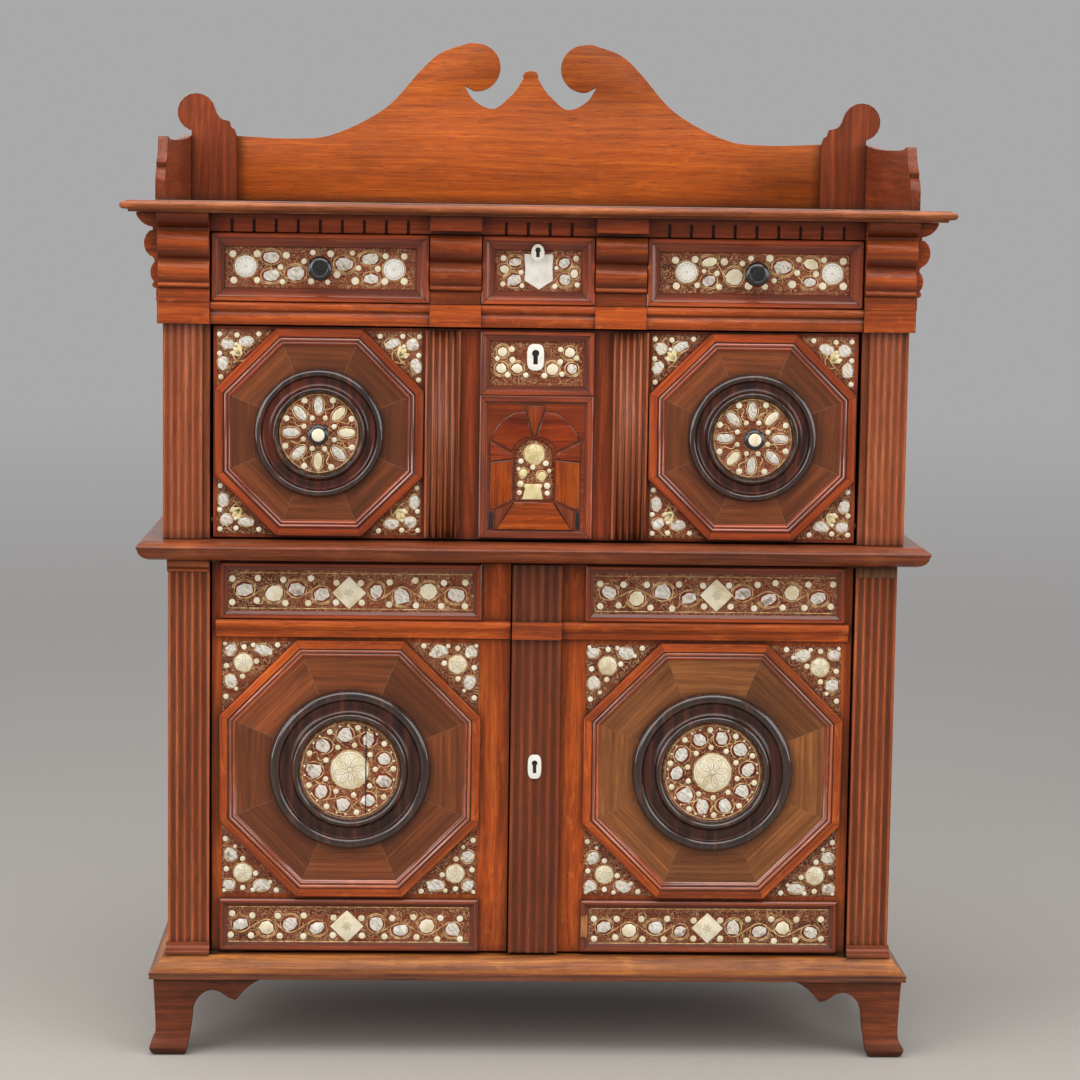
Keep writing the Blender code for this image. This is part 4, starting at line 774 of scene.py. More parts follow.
for name, side, shift in (("foot_front_left", -1, 1), ("foot_front_right", 1, 2)):
    corner = Matrix.Translation((side * foot["corner"][0], foot["corner"][1], 0))
    front = corner @ Matrix(((-side, 0, 0, 0), (0, 1, 0, 0), (0, 0, 1, 0), (0, 0, 0, 1)))
    along = corner @ Matrix(((0, -side, 0, 0), (1, 0, 0, 0), (0, 0, 1, 0), (0, 0, 0, 1)))
    pair = [footBoard(foot["reach"][0], 0, front), footBoard(foot["reach"][1], foot["thick"], along)]
    # painted shade: the toe is darker near the floor
    toe = wood("footOak", "xy", shift, .1, None, (.010, .028, .55, .1))
    joinUp(pair, name + "_sawn", "case", toe, 30, name)
print("gallery and feet sawn, backs boarded")

# frames: steps of inset and height, then body, centre, half size, back, wood and steps of each
frameSteps = {
    "band": [(0, .0062), (.0022, .0018), (.0032, -.0004), (.0016, -.0026), (.0042, -.0022), (.0008, -.0006)],
    "frieze": [(0, .0112), (.0016, .0016), (.0050, -.0002), (.0012, -.0028), (.0078, -.0034), (.0036, .0002),
               (.0012, -.0038)],
    "top": [(0, .0086), (.0014, .0014), (.0036, -.0002), (.0012, -.0022), (.0050, -.0020), (.0026, .0002),
            (.0012, -.0026)]}
frames = {
    "left_top_frame": ("left_door", (-.273, .7033), (.1949, .0427), -.2062, "frameOak", "band"),
    "left_bottom_frame": ("left_door", (-.273, .1948), (.1949, .0397), -.2062, "redOak", "band"),
    "right_top_frame": ("right_door", (.273, .7033), (.1949, .0427), -.2062, "frameOak", "band"),
    "right_bottom_frame": ("right_door", (.273, .1948), (.1949, .0397), -.2062, "redOak", "band"),
    "frieze_frame_left": ("frieze_drawer", (-.321, 1.1839), (.1604, .0503), -.2132, "frameOak", "frieze"),
    "frieze_frame_right": ("frieze_drawer", (.321, 1.1839), (.1604, .0503), -.2132, "frameOak", "frieze"),
    "frieze_frame_centre": ("frieze_drawer", (0, 1.1839), (.0838, .0503), -.2132, "frameOak", "frieze"),
    "fall_top_frame": ("fall", (0, 1.0471), (.0840, .0473), -.2132, "redOak", "top"),
}
lost = {"frame": "right_bottom_frame",  # a length of its left moulding is gone
        "back": -.2063, "thick": .0046, "soft": .0004, "cutFrom": -.2072, "cutDeep": .02,
        "gap": [(.0770, .1766), (.0888, .1766), (.0884, .2128), (.0770, .2130)],
        "bed": [(.0784, .1769), (.0885, .1769), (.0881, .2125), (.0784, .2127)]}
innerShade = {"from": .0012, "to": .55}  # depth where it starts, share of the frame where it is full
for name, (body, centre, half, back, kind, steps) in frames.items():
    steps = frameSteps[steps]
    piece = insetFrame(flatBoard(centre, half, back), steps)
    front = back - steps[0][1] - steps[1][1]
    if name == lost["frame"]:
        cutAway(piece, cutPlate(lost["gap"], lost["cutFrom"], lost["cutDeep"], 0))
    shadeSpan = front + innerShade["from"], front + steps[0][1] * innerShade["to"]
    edge = mitredWood(name, kind, centre, half, shadeSpan)
    finishPiece(piece, name, body, [edge, ground], 28)
bed = cutPlate(lost["bed"], lost["back"], lost["thick"], lost["soft"])
finishPiece(bed, "lost_moulding_bed", "right_door", [wood("paleScar", "z", 16)], 30)
print("frames mitred", len(frames))

# round fields: the centres that octagons, rings, knobs and discs share
roundAt = {"left": (-.273, .4341), "right": (.273, .4341), "fallLeft": (-.3217, .9405), "fallRight": (.3217, .9405)}

# octagons: outer flat band, two beads between quirks, then the veneered field
octagons = {  # node: body, round field, across half, back, wood of the frame and of the field
    "left_octagon": ("left_door", "left", .1949, -.2066, "orangeOak", "fieldWood"),
    "right_octagon": ("right_door", "right", .1949, -.2066, "orangeOak", "fieldGold"),
    "fall_octagon_left": ("fall", "fallLeft", .1539, -.2136, "frameOak", "fieldWood"),
    "fall_octagon_right": ("fall", "fallRight", .1539, -.2136, "frameOak", "fieldWood"),
}
octagonSteps = [(0, .0085), (.0018, .0022), (.0098, .0004), (.0006, -.0026), (.0006, -.0002), (.0004, .0010),
                (.0010, .0011), (.0013, .0004), (.0013, -.0005), (.0010, -.0011), (.0006, -.0012), (.0006, 0),
                (.0004, .0008), (.0009, .0006), (.0010, -.0002), (.0010, -.0008), (.0006, -.0008), (.0004, -.0006),
                (.0016, -.0016)]
octagonLook = {"seam": (46, 18, 10), "gloss": .95, "bead": .0122, "fieldSeam": (128, 98, 74), "fieldGloss": .12}
for name, (body, spot, half, back, kind, field) in octagons.items():
    centre = roundAt[spot]
    piece = insetFrame(flatOctagon(centre, half, back), octagonSteps)
    look, band = octagonLook, half - octagonLook["bead"]
    edge = octagonWood(name + "_frame", kind, centre, look["seam"], look["gloss"], band)
    veneer = octagonWood(name + "_field", field, centre, look["fieldSeam"], look["fieldGloss"])
    finishPiece(piece, name + "_mitred", body, [edge, veneer], 36, name)
print("octagons mitred")

# turned rings: body, round field, back, size, redness
ring = {"steps": 112, "field": .0748,
        "profile": [(.1210, 0), (.1210, .0030), (.1200, .0066), (.1178, .0096), (.1145, .0114), (.1110, .0116),
                    (.1080, .0104), (.1058, .0082), (.1046, .0062), (.1036, .0056), (.0990, .0049), (.0940, .0052),
                    (.0900, .0064), (.0876, .0084), (.0862, .0108), (.0848, .0130), (.0832, .0142), (.0814, .0145),
                    (.0798, .0138), (.0784, .0122), (.0768, .0094), (.0755, .0066), (.0747, .0060), (.0450, .0060),
                    (.0200, .0060), (0, .0060)]}
rings = {"left_ring": ("left_door", "left", -.2121, 1.0, .30),
         "right_ring": ("right_door", "right", -.2121, 1.0, .22),
         "fall_ring_left": ("fall", "fallLeft", -.2191, .7934, .85),
         "fall_ring_right": ("fall", "fallRight", -.2191, .7934, .45)}


# turned dark wood, redder in the hollow between the two rolls
def ringMaterial(name, centre, size, red):
    place = newMaterial(name)
    x, y, z = fromCentre(place, centre)
    reach = div(spread(x, z), size)
    lines, cloud = noise(stretch(place, (110, 110, 7)), 1.0, 4.0), noise(place, 16, 3)
    colour = ramp(lines, (.3, (24, 12, 9)), (.55, (50, 27, 19)), (.75, (92, 50, 34)))
    hollow = mul(fade(reach, .0850, .0905), fade(reach, .1040, .1085, 1, 0))
    band = mul(hollow, fade(cloud, .34, .62, .25 * red, red))
    colour = blend(band, colour, ramp(lines, (.3, (58, 20, 12)), (.7, (118, 48, 26))))
    return closeMaterial(colour, fade(cloud, .3, .7, .34, .22), lines, .12, .0005, Specular_IOR_Level=.25,
                         Coat_Weight=fade(hollow, 0, 1, .95, .3), Coat_Roughness=.12, Coat_IOR=1.6)


for name, (body, spot, back, size, red) in rings.items():
    centre = roundAt[spot]
    piece = turnOnLathe([(r * size, h) for r, h in ring["profile"]], centre, back, ring["steps"])
    inner = ring["field"] * size
    pickFaces(piece, lambda c, n: (c.x - centre[0]) ** 2 + (c.z - centre[1]) ** 2 < inner ** 2)
    markField(piece)
    finishPiece(piece, name + "_turned", body, [ringMaterial(name, centre, size, red), ground], 50, name)

# knobs: body, centre, back, width and depth against the profile
knob = {"profile": [(.0085, 0), (.0092, .0022), (.0078, .0050), (.0062, .0095), (.0064, .0150), (.0090, .0195),
                    (.0140, .0228), (.0176, .0262), (.0185, .0302), (.0182, .0335), (.0168, .0366), (.0140, .0386),
                    (.0118, .0392), (.0108, .0386), (.0070, .0392), (0, .0400)],
        "cap": [(.0095, 0), (.0094, .0010), (.0080, .0019), (.0045, .0024), (0, .0026)], "capAt": .0326,
        "steps": 48, "capSteps": 32}
knobs = {"frieze_knob_left": ("frieze_drawer", (-.3209, 1.1839), -.2163, 1, 1),
         "frieze_knob_right": ("frieze_drawer", (.3209, 1.1839), -.2163, 1, 1),
         "fall_knob_left": ("fall", roundAt["fallLeft"], -.2254, .865, .85),
         "fall_knob_right": ("fall", roundAt["fallRight"], -.2254, .865, .85)}
for name, (body, centre, back, wide, deep) in knobs.items():
    piece = turnOnLathe([(r * wide, h * deep) for r, h in knob["profile"]], centre, back, knob["steps"])
    finishPiece(piece, name + "_turned", body, [ebony], 45, name)
    if body == "fall":
        cap = turnOnLathe(knob["cap"], centre, back - knob["capAt"], knob["capSteps"])
        finishPiece(cap, name + "_cap", body, [bone], 45)
print("rings and knobs turned")

# mouldings: wood, slot, profile in y and z, then name, body, start, end, shift and gloss of each length
mouldings = {
    "ledge": ("orangeOak", "oak_gold", [
        (-.2062, .6337), (-.2114, .6337), (-.2122, .6346), (-.2122, .6438), (-.2130, .6455), (-.2149, .6462),
        (-.2150, .6474), (-.2165, .6488), (-.2176, .6512), (-.2178, .6540), (-.2172, .6568), (-.2158, .6590),
        (-.2140, .6602), (-.2062, .6604)],
        ("left_door_ledge", "left_door", -.474, -.0345, 11), ("right_door_ledge", "right_door", .0425, .474, 12)),
    "capital": ("brownOak", "oak_dark", [  # only the left lower pilaster keeps one
        (-.2160, .7312), (-.2172, .7312), (-.2192, .7328), (-.2201, .7350), (-.2190, .7368), (-.2182, .7376),
        (-.2182, .7388), (-.2206, .7392), (-.2222, .7404), (-.2230, .7424), (-.2230, .7486), (-.2220, .7504),
        (-.2160, .7506)], ("lower_capital", "case", -.5462, -.4836, 15)),
    "block": ("orangeOak", "oak_gold", [  # carries the ledge across the meeting pilaster
        (-.2170, .6337), (-.2214, .6337), (-.2220, .6345), (-.2221, .6440), (-.2226, .6452), (-.2230, .6480),
        (-.2231, .6530), (-.2228, .6580), (-.2220, .6602), (-.2170, .6604)],
        ("ledge_block", "right_door", -.0321, .0424, 21, .3)),
    "plinth": ("darkOak", "oak_dark", [
        (-.2160, .1514), (-.2258, .1514), (-.2264, .1521), (-.2264, .1562), (-.2257, .1570), (-.2240, .1572),
        (-.2242, .1586), (-.2238, .1608), (-.2226, .1628), (-.2210, .1640), (-.2202, .1644), (-.2200, .1658),
        (-.2194, .1682), (-.2160, .1694)],
        ("lower_plinth_left", "case", -.5472, -.4824, 22, .25), ("lower_plinth_right", "case", .4824, .5472, 22, .25)),
}
for kind, slot, profile, *lengths in mouldings.values():
    for name, body, start, end, *look in lengths:
        piece = sawOut([(start, y, z) for y, z in profile], end - start, 0, 0)
        finishPiece(piece, name, body, [wood(kind, "x", *look)], 25)

# fluted strips of the fall, lifted from its node
flutes = {"back": -.2133, "from": .112, "to": .166, "fluteShade": (-.2215, .0023, .6)}
piece = boardFrom("fall_board", -1)
bpy.ops.mesh.select_all(action="SELECT")
bpy.ops.mesh.bisect(plane_co=(0, flutes["back"], 0), plane_no=(0, 1, 0), clear_outer=True)
pickFaces(piece, lambda c, n: not flutes["from"] < abs(c.x) < flutes["to"])
bpy.ops.mesh.delete(type="FACE")
finishPiece(piece, "fall_flutes", "fall", [wood("brownOak", "z", 6, .2, flutes["fluteShade"])], 40)

# two beads run round the lip of the base board
beads = {"corners": ((-.5706, .2800), (-.5706, -.2421), (.5706, -.2421), (.5706, .2800)),
         "levels": ((.1256, .0021), (.1190, .0016))}
strips = [drawWires("bead", [[(x, y, z) for x, y in beads["corners"]]], thick) for z, thick in beads["levels"]]
joinUp(strips, "base_beads", "case", wood("waistOak", "xy", 25, .95), 50)

# arch panel: frame, niche and the little flat arch built up in veneers
arch = {"centre": (0, .893), "half": (.084, .1065), "back": -.2136, "niche": (-.0025, .9060, .0295, .8435),
        "floor": -.2196, "steps": [(0, .0086), (.0014, .0012), (.0068, -.0002), (.0014, -.0024), (.0024, -.0012)],
        "shadeSpan": (-.2222, -.2200), "nicheCut": -.2166, "nicheFloor": -.2162, "string": .0009,
        "slots": ((-69, -63), (60, 66)), "slotTop": 826, "slotFoot": 801, "slot": (.0012, .0003),
        "sunk": .0004, "soft": .0006, "cutDeep": .02, "stringUp": .0003, "nicheGap": .0002,
        "nicheGround": (.0008, .0002)}
archParts = {  # outline in millimetres, thickness, wood, grain
    "keystone": ([(-16, 984), (12, 984), (-1, 942), (-5, 942)], 2.6, "redOak", "z"),
    "vault_left": ([(-6, 939), (-17, 975), (-34, 972), (-50, 962), (-62, 946), (-65, 934), (-36, 918), (-33, 926),
                    (-25, 934), (-15, 938.5)], 1.5, "panelWood", "x"),
    "vault_right": ([(1, 939), (13, 975), (30, 972), (46, 962), (58, 946), (62, 934), (31, 918), (28, 926), (20, 934),
                     (10, 938.5)], 1.5, "panelWood", "x"),
    "impost_left": ([(-68, 930), (-38, 914), (-36, 906), (-68, 902)], 2.0, "redOak", "x"),
    "impost_right": ([(66, 930), (33, 914), (31, 906), (66, 902)], 2.0, "redOak", "x"),
    "jamb_left": ([(-67, 900), (-35, 903), (-35, 845), (-61, 832), (-67, 832)], 1.2, "orangeOak", "z"),
    "jamb_right": ([(65, 900), (30, 903), (30, 845), (58, 832), (65, 832)], 1.2, "orangeOak", "z"),
    "side_left": ([(-59, 828), (-34, 840), (-57, 800), (-60, 800)], 1.6, "darkOak", "z"),
    "side_right": ([(57, 828), (29, 840), (53, 800), (57, 800)], 1.6, "darkOak", "z"),
    "floor": ([(-31, 840), (26, 840), (53, 800), (-57, 800)], 2.4, "orangeOak", "x"),
}


def nicheOutline(grow):
    x, z, r, sill = arch["niche"]
    r, sill = r + grow, sill - grow
    return [(x + r, sill)] + [polar(x, z, r, a) for a in turns(0, 181, 12)] + [(x - r, sill)]


def buildArch():
    centre, half, back = arch["centre"], arch["half"], arch["floor"] + arch["sunk"]
    piece = insetFrame(flatBoard(centre, half, arch["back"]), arch["steps"])
    cutAway(piece, cutPlate(nicheOutline(0), arch["nicheCut"], arch["cutDeep"], 0))
    looks = [mitredWood("fall_arch_frame", "redOak", centre, half, arch["shadeSpan"]), wood("panelWood", "x", 8)]
    finishPiece(piece, "fall_arch_panel_built", "fall", looks, 28, "fall_arch_panel")
    strings = []
    for name, (outline, thick, kind, along) in archParts.items():
        piece = cutPlate(toScale(outline), back, thick * mm + arch["sunk"], arch["soft"])
        finishPiece(piece, "arch_" + name, "fall", [wood(kind, along, 13)], 30)
        strings.append([(x, arch["floor"] - arch["stringUp"], z) for x, z in toScale(outline + outline[:1])])
    piece = drawWires("arch_strings", strings, arch["string"])
    finishPiece(piece, "arch_strings", "fall", [wood("footOak", "x", 24, 1)], 50)
    top, low = arch["slotTop"], arch["slotFoot"]
    slots = [toScale([(a, top), (b, top), (b, low), (a, low)]) for a, b in arch["slots"]]
    slots = [cutPlate(slot, back, *arch["slot"]) for slot in slots]
    joinUp(slots, "arch_slots", "fall", ebony, 40)
    piece = cutPlate(nicheOutline(-arch["nicheGap"]), arch["nicheFloor"], *arch["nicheGround"])
    finishPiece(piece, "arch_niche_ground", "fall", [ground], 30)
    print("arch panel built")


buildArch()

# little inlay shapes, unit size across, drawn once
rng = random.Random(7)
gemRise = (.55, .45)  # up to the girdle, then to the flat top


def gemShape(corners, uneven, height, shoulder):
    clear()
    bpy.ops.mesh.primitive_circle_add(vertices=corners, radius=1, fill_type="NGON", rotation=(math.pi / 2, 0, 0))
    piece = applyAll()
    editAll()
    mesh = bmesh.from_edit_mesh(piece.data)
    for vert in mesh.verts:
        vert.co *= 1 + rng.uniform(-uneven, uneven)
    bmesh.update_edit_mesh(piece.data)
    for share in gemRise:
        pull(0, -height * share, 0)
    bpy.ops.transform.resize(value=(shoulder, 1, shoulder))
    faceOut()
    clear()
    return piece


dotShape = gemShape(10, .03, .0016, .55)
pearlShapes = [gemShape(n, .17, .0016, .80) for n in (7, 8, 6, 9)]
boneShapes = [gemShape(n, .08, .0015, .86) for n in (8, 7, 9)]
petalShape, discShape = gemShape(12, .05, .0014, .78), gemShape(32, 0, .0014, .93)
seatShape = gemShape(12, .04, .0005, .96)
drawn = [dotShape, *pearlShapes, *boneShapes, petalShape, discShape, seatShape]
kinds = {  # material and slot of each kind of bit
    "bone": (bone, "oak_inside"), "white": (whiteBone, "oak_inside"), "gold": (goldBone, "oak_inside"),
    "pearl": (pearl, "oak_inside"), "seat": (seatMaterial(), "field_wood")}
lines = {"wire": .0002, "cut": .00135}  # how far each kind stands off its ground
thickness = {"wire": .00085, "cut": .00026}
gem = {"grow": 1.04, "seat": 2.6, "curl": (5.2, 4.8), "dotGrow": 1.17, "turn": .3}
rosette = {"large": .02, "start": .2, "leaf": (.50, .33, .15), "vein": (.26, .62), "rings": ((.15, 10), (.90, 32)),
           "pin": (.0010, .12), "edge": (.0001, .0012)}
rondel = {"rings": ((.10, 8), (.84, 28)), "rays": 12, "ray": (.62, .80), "lower": .00003, "gap": 1.6}
plaque = {"sunk": .0004, "thick": .0018}
work = {body: {kind: [] for kind in (*kinds, *lines)} for body in ("frieze_drawer", "fall", "left_door", "right_door")}


def stamp(body, kind, shape, y, place, wide, tall=None, turn=0.0):
    copy = bpy.data.objects.new("bit", shape.data.copy())
    size = Matrix.Diagonal((wide, 1, wide if tall is None else tall, 1))
    copy.data.transform(Matrix.Translation((place[0], y, place[1])) @ Matrix.Rotation(turn, 4, "Y") @ size)
    scene.collection.objects.link(copy)
    work[body][kind].append(copy)


def lay(body, y, points, kind="wire"):
    work[body][kind].append([(x, y - lines[kind], z) for x, z in points])


def loop(body, y, place, wide, tall, start=0, sweep=360, points=16, kind="wire"):
    spans = [math.radians(start + sweep * i / points) for i in range(points + 1)]
    lay(body, y, [(place[0] + wide * math.cos(a), place[1] + tall * math.sin(a)) for a in spans], kind)


def sway(body, y, a, b, points=10):  # one S between two places
    steps = [i / points for i in range(points + 1)]
    lay(body, y, [(a[0] + (b[0] - a[0]) * t, a[1] + (b[1] - a[1]) * (t * t * (3 - 2 * t))) for t in steps])


def dots(body, y, centre, spots, size=None):
    for x, z, *own in spots:
        r = (own[0] if own else size) * gem["dotGrow"] * mm
        stamp(body, "bone", dotShape, y, at(centre, x, z), r, None, rng.uniform(0, 6))


def gems(body, y, centre, spots):  # x, z, half width, half height, b for bone
    for i, (x, z, wide, tall, *mark) in enumerate(spots):
        place = at(centre, x, z)
        kind, shapes = ("bone", boneShapes) if mark else ("pearl", pearlShapes)
        grow, seat, curl, turn = gem["grow"] * mm, gem["seat"], gem["curl"], gem["turn"]
        stamp(body, kind, rng.choice(shapes), y, place, wide * grow, tall * grow, rng.uniform(-turn, turn))
        stamp(body, "seat", seatShape, y, place, (wide + seat) * mm, (tall + seat) * mm)
        loop(body, y, place, (wide + seat) * mm, (tall + seat) * mm, 0, 360, 20)
        loop(body, y, place, (wide + curl[0]) * mm, (tall + curl[1]) * mm, 200 if i % 2 else 20, 150, 10)


def slanted(place, a, along, across):
    return (place[0] + along * math.cos(a) - across * math.sin(a),
            place[1] + along * math.sin(a) + across * math.cos(a))


def cutFlower(body, y, place, r, petals):  # fine lines of a plain flower, rubbed with dark wax
    large = r > rosette["large"]  # the big discs have room for a rim line
    far, half, wide = rosette["leaf"]
    for i in range(petals):
        a = math.tau * i / petals + rosette["start"]
        leaf = [slanted(place, a, r * (far + half * math.cos(b)), r * wide * math.sin(b)) for b in turns(0, 361, 30)]
        lay(body, y, leaf, "cut")
        if large:
            lay(body, y, [polar(*place, r * k, a) for k in rosette["vein"]], "cut")
    if large:
        for share, points in rosette["rings"]:
            loop(body, y, place, r * share, r * share, 0, 360, points, "cut")


def flower(body, y, place, r, petals, kind="bone"):  # a plain rosette cut in a bone disc
    stamp(body, kind, discShape, y, place, r)
    cutFlower(body, y, place, r, petals)
    (pinUp, pin), (edgeUp, gap) = rosette["pin"], rosette["edge"]
    stamp(body, kind, dotShape, y - pinUp, place, r * pin)
    loop(body, y - edgeUp, place, r + gap, r + gap, 0, 360, 28)


def between(body, centre, disc, a):  # two dots and a stem between two petals
    for reach, r in disc["dots"]:
        stamp(body, "bone", dotShape, disc["y"], polar(*centre, reach * mm, a), r * mm)
    start, length, bend = disc["stem"]
    steps = [i / 8 for i in range(9)]
    lay(body, disc["y"], [polar(*centre, (start + length * t) * mm, a + bend * math.sin(math.tau * t)) for t in steps])


def fillPanel(panel):
    body, y, centre = panel["body"], panel["y"], panel["centre"]
    for x, z, r in panel["rondels"]:
        place = at(centre, x, z)
        stamp(body, "white", discShape, y, place, r * mm)
        for share, points in rondel["rings"]:
            loop(body, y, place, r * share * mm, r * share * mm, 0, 360, points, "cut")
        for i in range(rondel["rays"]):  # short rays round the pin, a hair lower
            a = math.tau * i / rondel["rays"]
            lay(body, y + rondel["lower"], [polar(*place, r * k * mm, a) for k in rondel["ray"]], "cut")
        edge = (r + rondel["gap"]) * mm
        loop(body, y, place, edge, edge, 0, 360, 24)
    gems(body, y, centre, panel["gems"])
    dots(body, y, centre, panel["dots"])
    if panel["rondels"]:
        row = sorted(panel["gems"])
        for a, b in zip(row, row[1:]):
            sway(body, y, at(centre, a[0], a[1] + a[3]), at(centre, b[0], b[1] - b[3]))


# frieze: rondels, gems and dots in millimetres from the centre of each panel
friezePanels = (
    {"body": "frieze_drawer", "y": -.2159, "centre": (-.321, 1.184), "rondels": ((-110, 1, 16), (108, -1, 15.5)),
     "gems": ((-73, 14.5, 13, 8), (-72.5, -12, 13, 8), (-37, -9, 14, 10), (35, 6.5, 13.5, 10.5),
              (72.5, 14, 13.5, 8), (74.5, -15, 11, 8)),
     "dots": ((-129, 19, 4.6), (-93, 19.5, 4.6), (-127.5, -19.5, 4.4), (-93.5, -19, 4), (95.5, 18.5, 4),
              (123, 18.5, 4.2), (94.5, -18.5, 4.6), (123, -18, 4.6), (-50.5, 18, 4.6), (-59, .5, 3.6), (-56, -21, 3.4),
              (-24.5, 9.5, 3.6), (-11.5, 22.5, 3.6), (14.5, 21, 4.4), (24, -9.5, 4.6), (-14, -20, 4),
              (10.5, -20.5, 3.2), (55.5, .5, 3.6), (51, -18.5, 5), (84, -.5, 4), (46.5, 22.5, 3.4))},
    {"body": "frieze_drawer", "y": -.2159, "centre": (.321, 1.184), "rondels": ((-101.5, 1, 15.5), (115, 1.5, 15.5)),
     "gems": ((-68, 16.5, 11, 6.5, "b"), (-68.5, -11, 10.5, 8), (-31, -5, 12.5, 11.5, "b"),
              (41, 10.5, 14, 10.5), (83, 15, 11, 8, "b"), (81.5, -11.5, 9.5, 7)),
     "dots": ((-118.5, 18.5, 4.6), (-89.5, 20, 4.6), (-116.5, -19.5, 4.6), (-85.5, -18, 3.6), (130.5, 20, 4.6),
              (102, 21.5, 3.8), (101, -17, 4.8), (131.5, -17, 4.8), (-46, 17, 4.8), (-56.5, 0, 3.6), (-53, -20, 4),
              (-76, 3, 2.8), (-19, 15, 3.6), (-6.5, 22.5, 3.6), (21.5, 23, 4.8), (-9.5, -18, 5), (15, -19, 4),
              (28.5, -10, 3.4), (55.5, -15, 5.2), (62.5, 2, 3.8), (64.5, 22, 3.6), (90.5, 1, 4))},
    {"body": "frieze_drawer", "y": -.2159, "centre": (0, 1.184), "rondels": (),
     "gems": ((-34.5, 12.5, 9.5, 6.5), (-50, 2, 6.5, 5.5, "b"), (-36, -14, 11, 9), (38, 12, 8.8, 7.8),
              (53, -3.5, 5.5, 6.5, "b"), (39, -12.5, 9, 8)),
     "dots": ((-52, 18, 3.8), (-25.5, -2.5, 3.3), (-52.5, -20, 3.3), (-24, -22, 3.1), (55.5, 19, 3.8),
              (26.5, 4.5, 2.6), (24.5, -22.5, 3.3), (57.5, -20, 3.3))},
)
for panel in friezePanels:
    fillPanel(panel)

# a bare shield under the keyhole of the frieze
shield = {"centre": (0, 1.184), "back": -.2156, "thick": .0022, "soft": .0005,
          "outline": ((-21, 22.5), (-19.5, 25), (-8, 24), (8, 24), (20, 25), (21.5, 22.5), (20.5, 4), (21.5, -14),
                      (12, -20), (1, -27.5), (-11, -20), (-20.5, -14), (-19.5, 4))}
piece = cutPlate(toScale(shield["outline"], shield["centre"]), shield["back"], shield["thick"], shield["soft"])
finishPiece(piece, "frieze_shield", "frieze_drawer", [whiteBone], 30)

# keyhole plates of bone, with a dark ebony plug in each hole as painted shade
keyPlates = {  # body, centre, half width and half height in millimetres, squareness of the shoulders, back, thickness
    "frieze_keyplate": ("frieze_drawer", -1.5, 1211, 9.6, 12.6, 1, -.2180, .0102),
    "fall_keyplate": ("fall", -2.5, 1056.5, 12.6, 19.6, .62, -.2162, .0024),
    "door_keyplate": ("right_door", 4.6, 441, 10.2, 18.4, .62, -.2168, .0022)}
keyhole = {"wide": .34, "tall": .54, "eye": 1.25, "eyeUp": .55, "foot": .8,  # against the plate
           "soft": .0007, "behind": .001, "through": .003, "sunk": .0004, "least": .0006, "below": .0012, "edge": .0001}
for name, (body, x, z, wide, tall, lean, back, thick) in keyPlates.items():
    square = lambda v: math.copysign(abs(v) ** lean, v)
    outline = [(x + wide * square(math.cos(a)), z + tall * square(math.sin(a))) for a in turns(0, 360, 12)]
    piece = cutPlate(toScale(outline), back, thick, keyhole["soft"])
    hx, hz = wide * keyhole["wide"], tall * keyhole["tall"]
    hole = [polar(x, z + hz * keyhole["eyeUp"], hx * keyhole["eye"], a) for a in turns(-50, 231, 20)]
    hole = toScale(hole + [(x + side * hx * keyhole["foot"], z - hz) for side in (-1, 1)])
    cutAway(piece, cutPlate(hole, back + keyhole["behind"], thick + keyhole["through"], 0))
    finishPiece(piece, name, body, [whiteBone], 35)
    deep = max(keyhole["least"], thick - keyhole["below"])
    # painted shade: a dark plug sunk in the keyhole
    dark = cutPlate(hole, back + keyhole["sunk"], deep, keyhole["edge"])
    finishPiece(dark, name + "_hole", body, [ebony], 30)

# top panel of the fall
fallTop = {"body": "fall", "y": -.2163, "centre": (0, 1.047), "rondels": (),
           "gems": ((-51.5, 17, 6.8, 6.8, "b"), (-53, -7.5, 7.6, 7.6, "b"), (-29.5, -7.5, 8.2, 7.2, "b"),
                    (48.5, 17, 7.6, 7.6, "b"), (23, -8, 8.4, 8.4, "b"), (51.5, -7, 7.8, 7.2)),
           "dots": ((-38, 21, 3.9), (-59, 7, 3.2), (-36.5, 5.5, 3.9), (-43.5, -17, 3.7), (-16.5, -17, 3.4),
                    (11, -17.5, 3.7), (37, -15, 3.4), (34, 3, 3.7), (34.5, 21.5, 3.4), (58.5, 9, 3.4))}
fillPanel(fallTop)

# discs of the fall: petals, with dots (reach, radius) and a stem (start, length, bend) between them
fallDisc = {"y": -.2250, "rounds": ("fallLeft", "fallRight"), "petals": 8, "petalAt": 41,
            "petal": (12.2, 6.6), "rim": (14.2, 8.6), "dots": ((24.5, 3.9), (53, 4.6)), "stem": (28, 22, .10),
            "edge": .0578, "uneven": .04, "boneShare": .45}
for field in fallDisc["rounds"]:
    centre, y, count = roundAt[field], fallDisc["y"], fallDisc["petals"]
    for i in range(count):
        a = math.tau * i / count + rng.uniform(-fallDisc["uneven"], fallDisc["uneven"])
        place = polar(*centre, fallDisc["petalAt"] * mm, a)
        kind = "bone" if rng.random() < fallDisc["boneShare"] else "pearl"
        stamp("fall", kind, petalShape, y, place, fallDisc["petal"][0] * mm, fallDisc["petal"][1] * mm, -a)
        wide, tall = (v * mm for v in fallDisc["rim"])
        lay("fall", y, [slanted(place, a, wide * math.cos(b), tall * math.sin(b)) for b in turns(0, 361, 20)])
        between("fall", centre, fallDisc, a + math.pi / count)
    loop("fall", y, centre, fallDisc["edge"], fallDisc["edge"], 0, 360, 48)

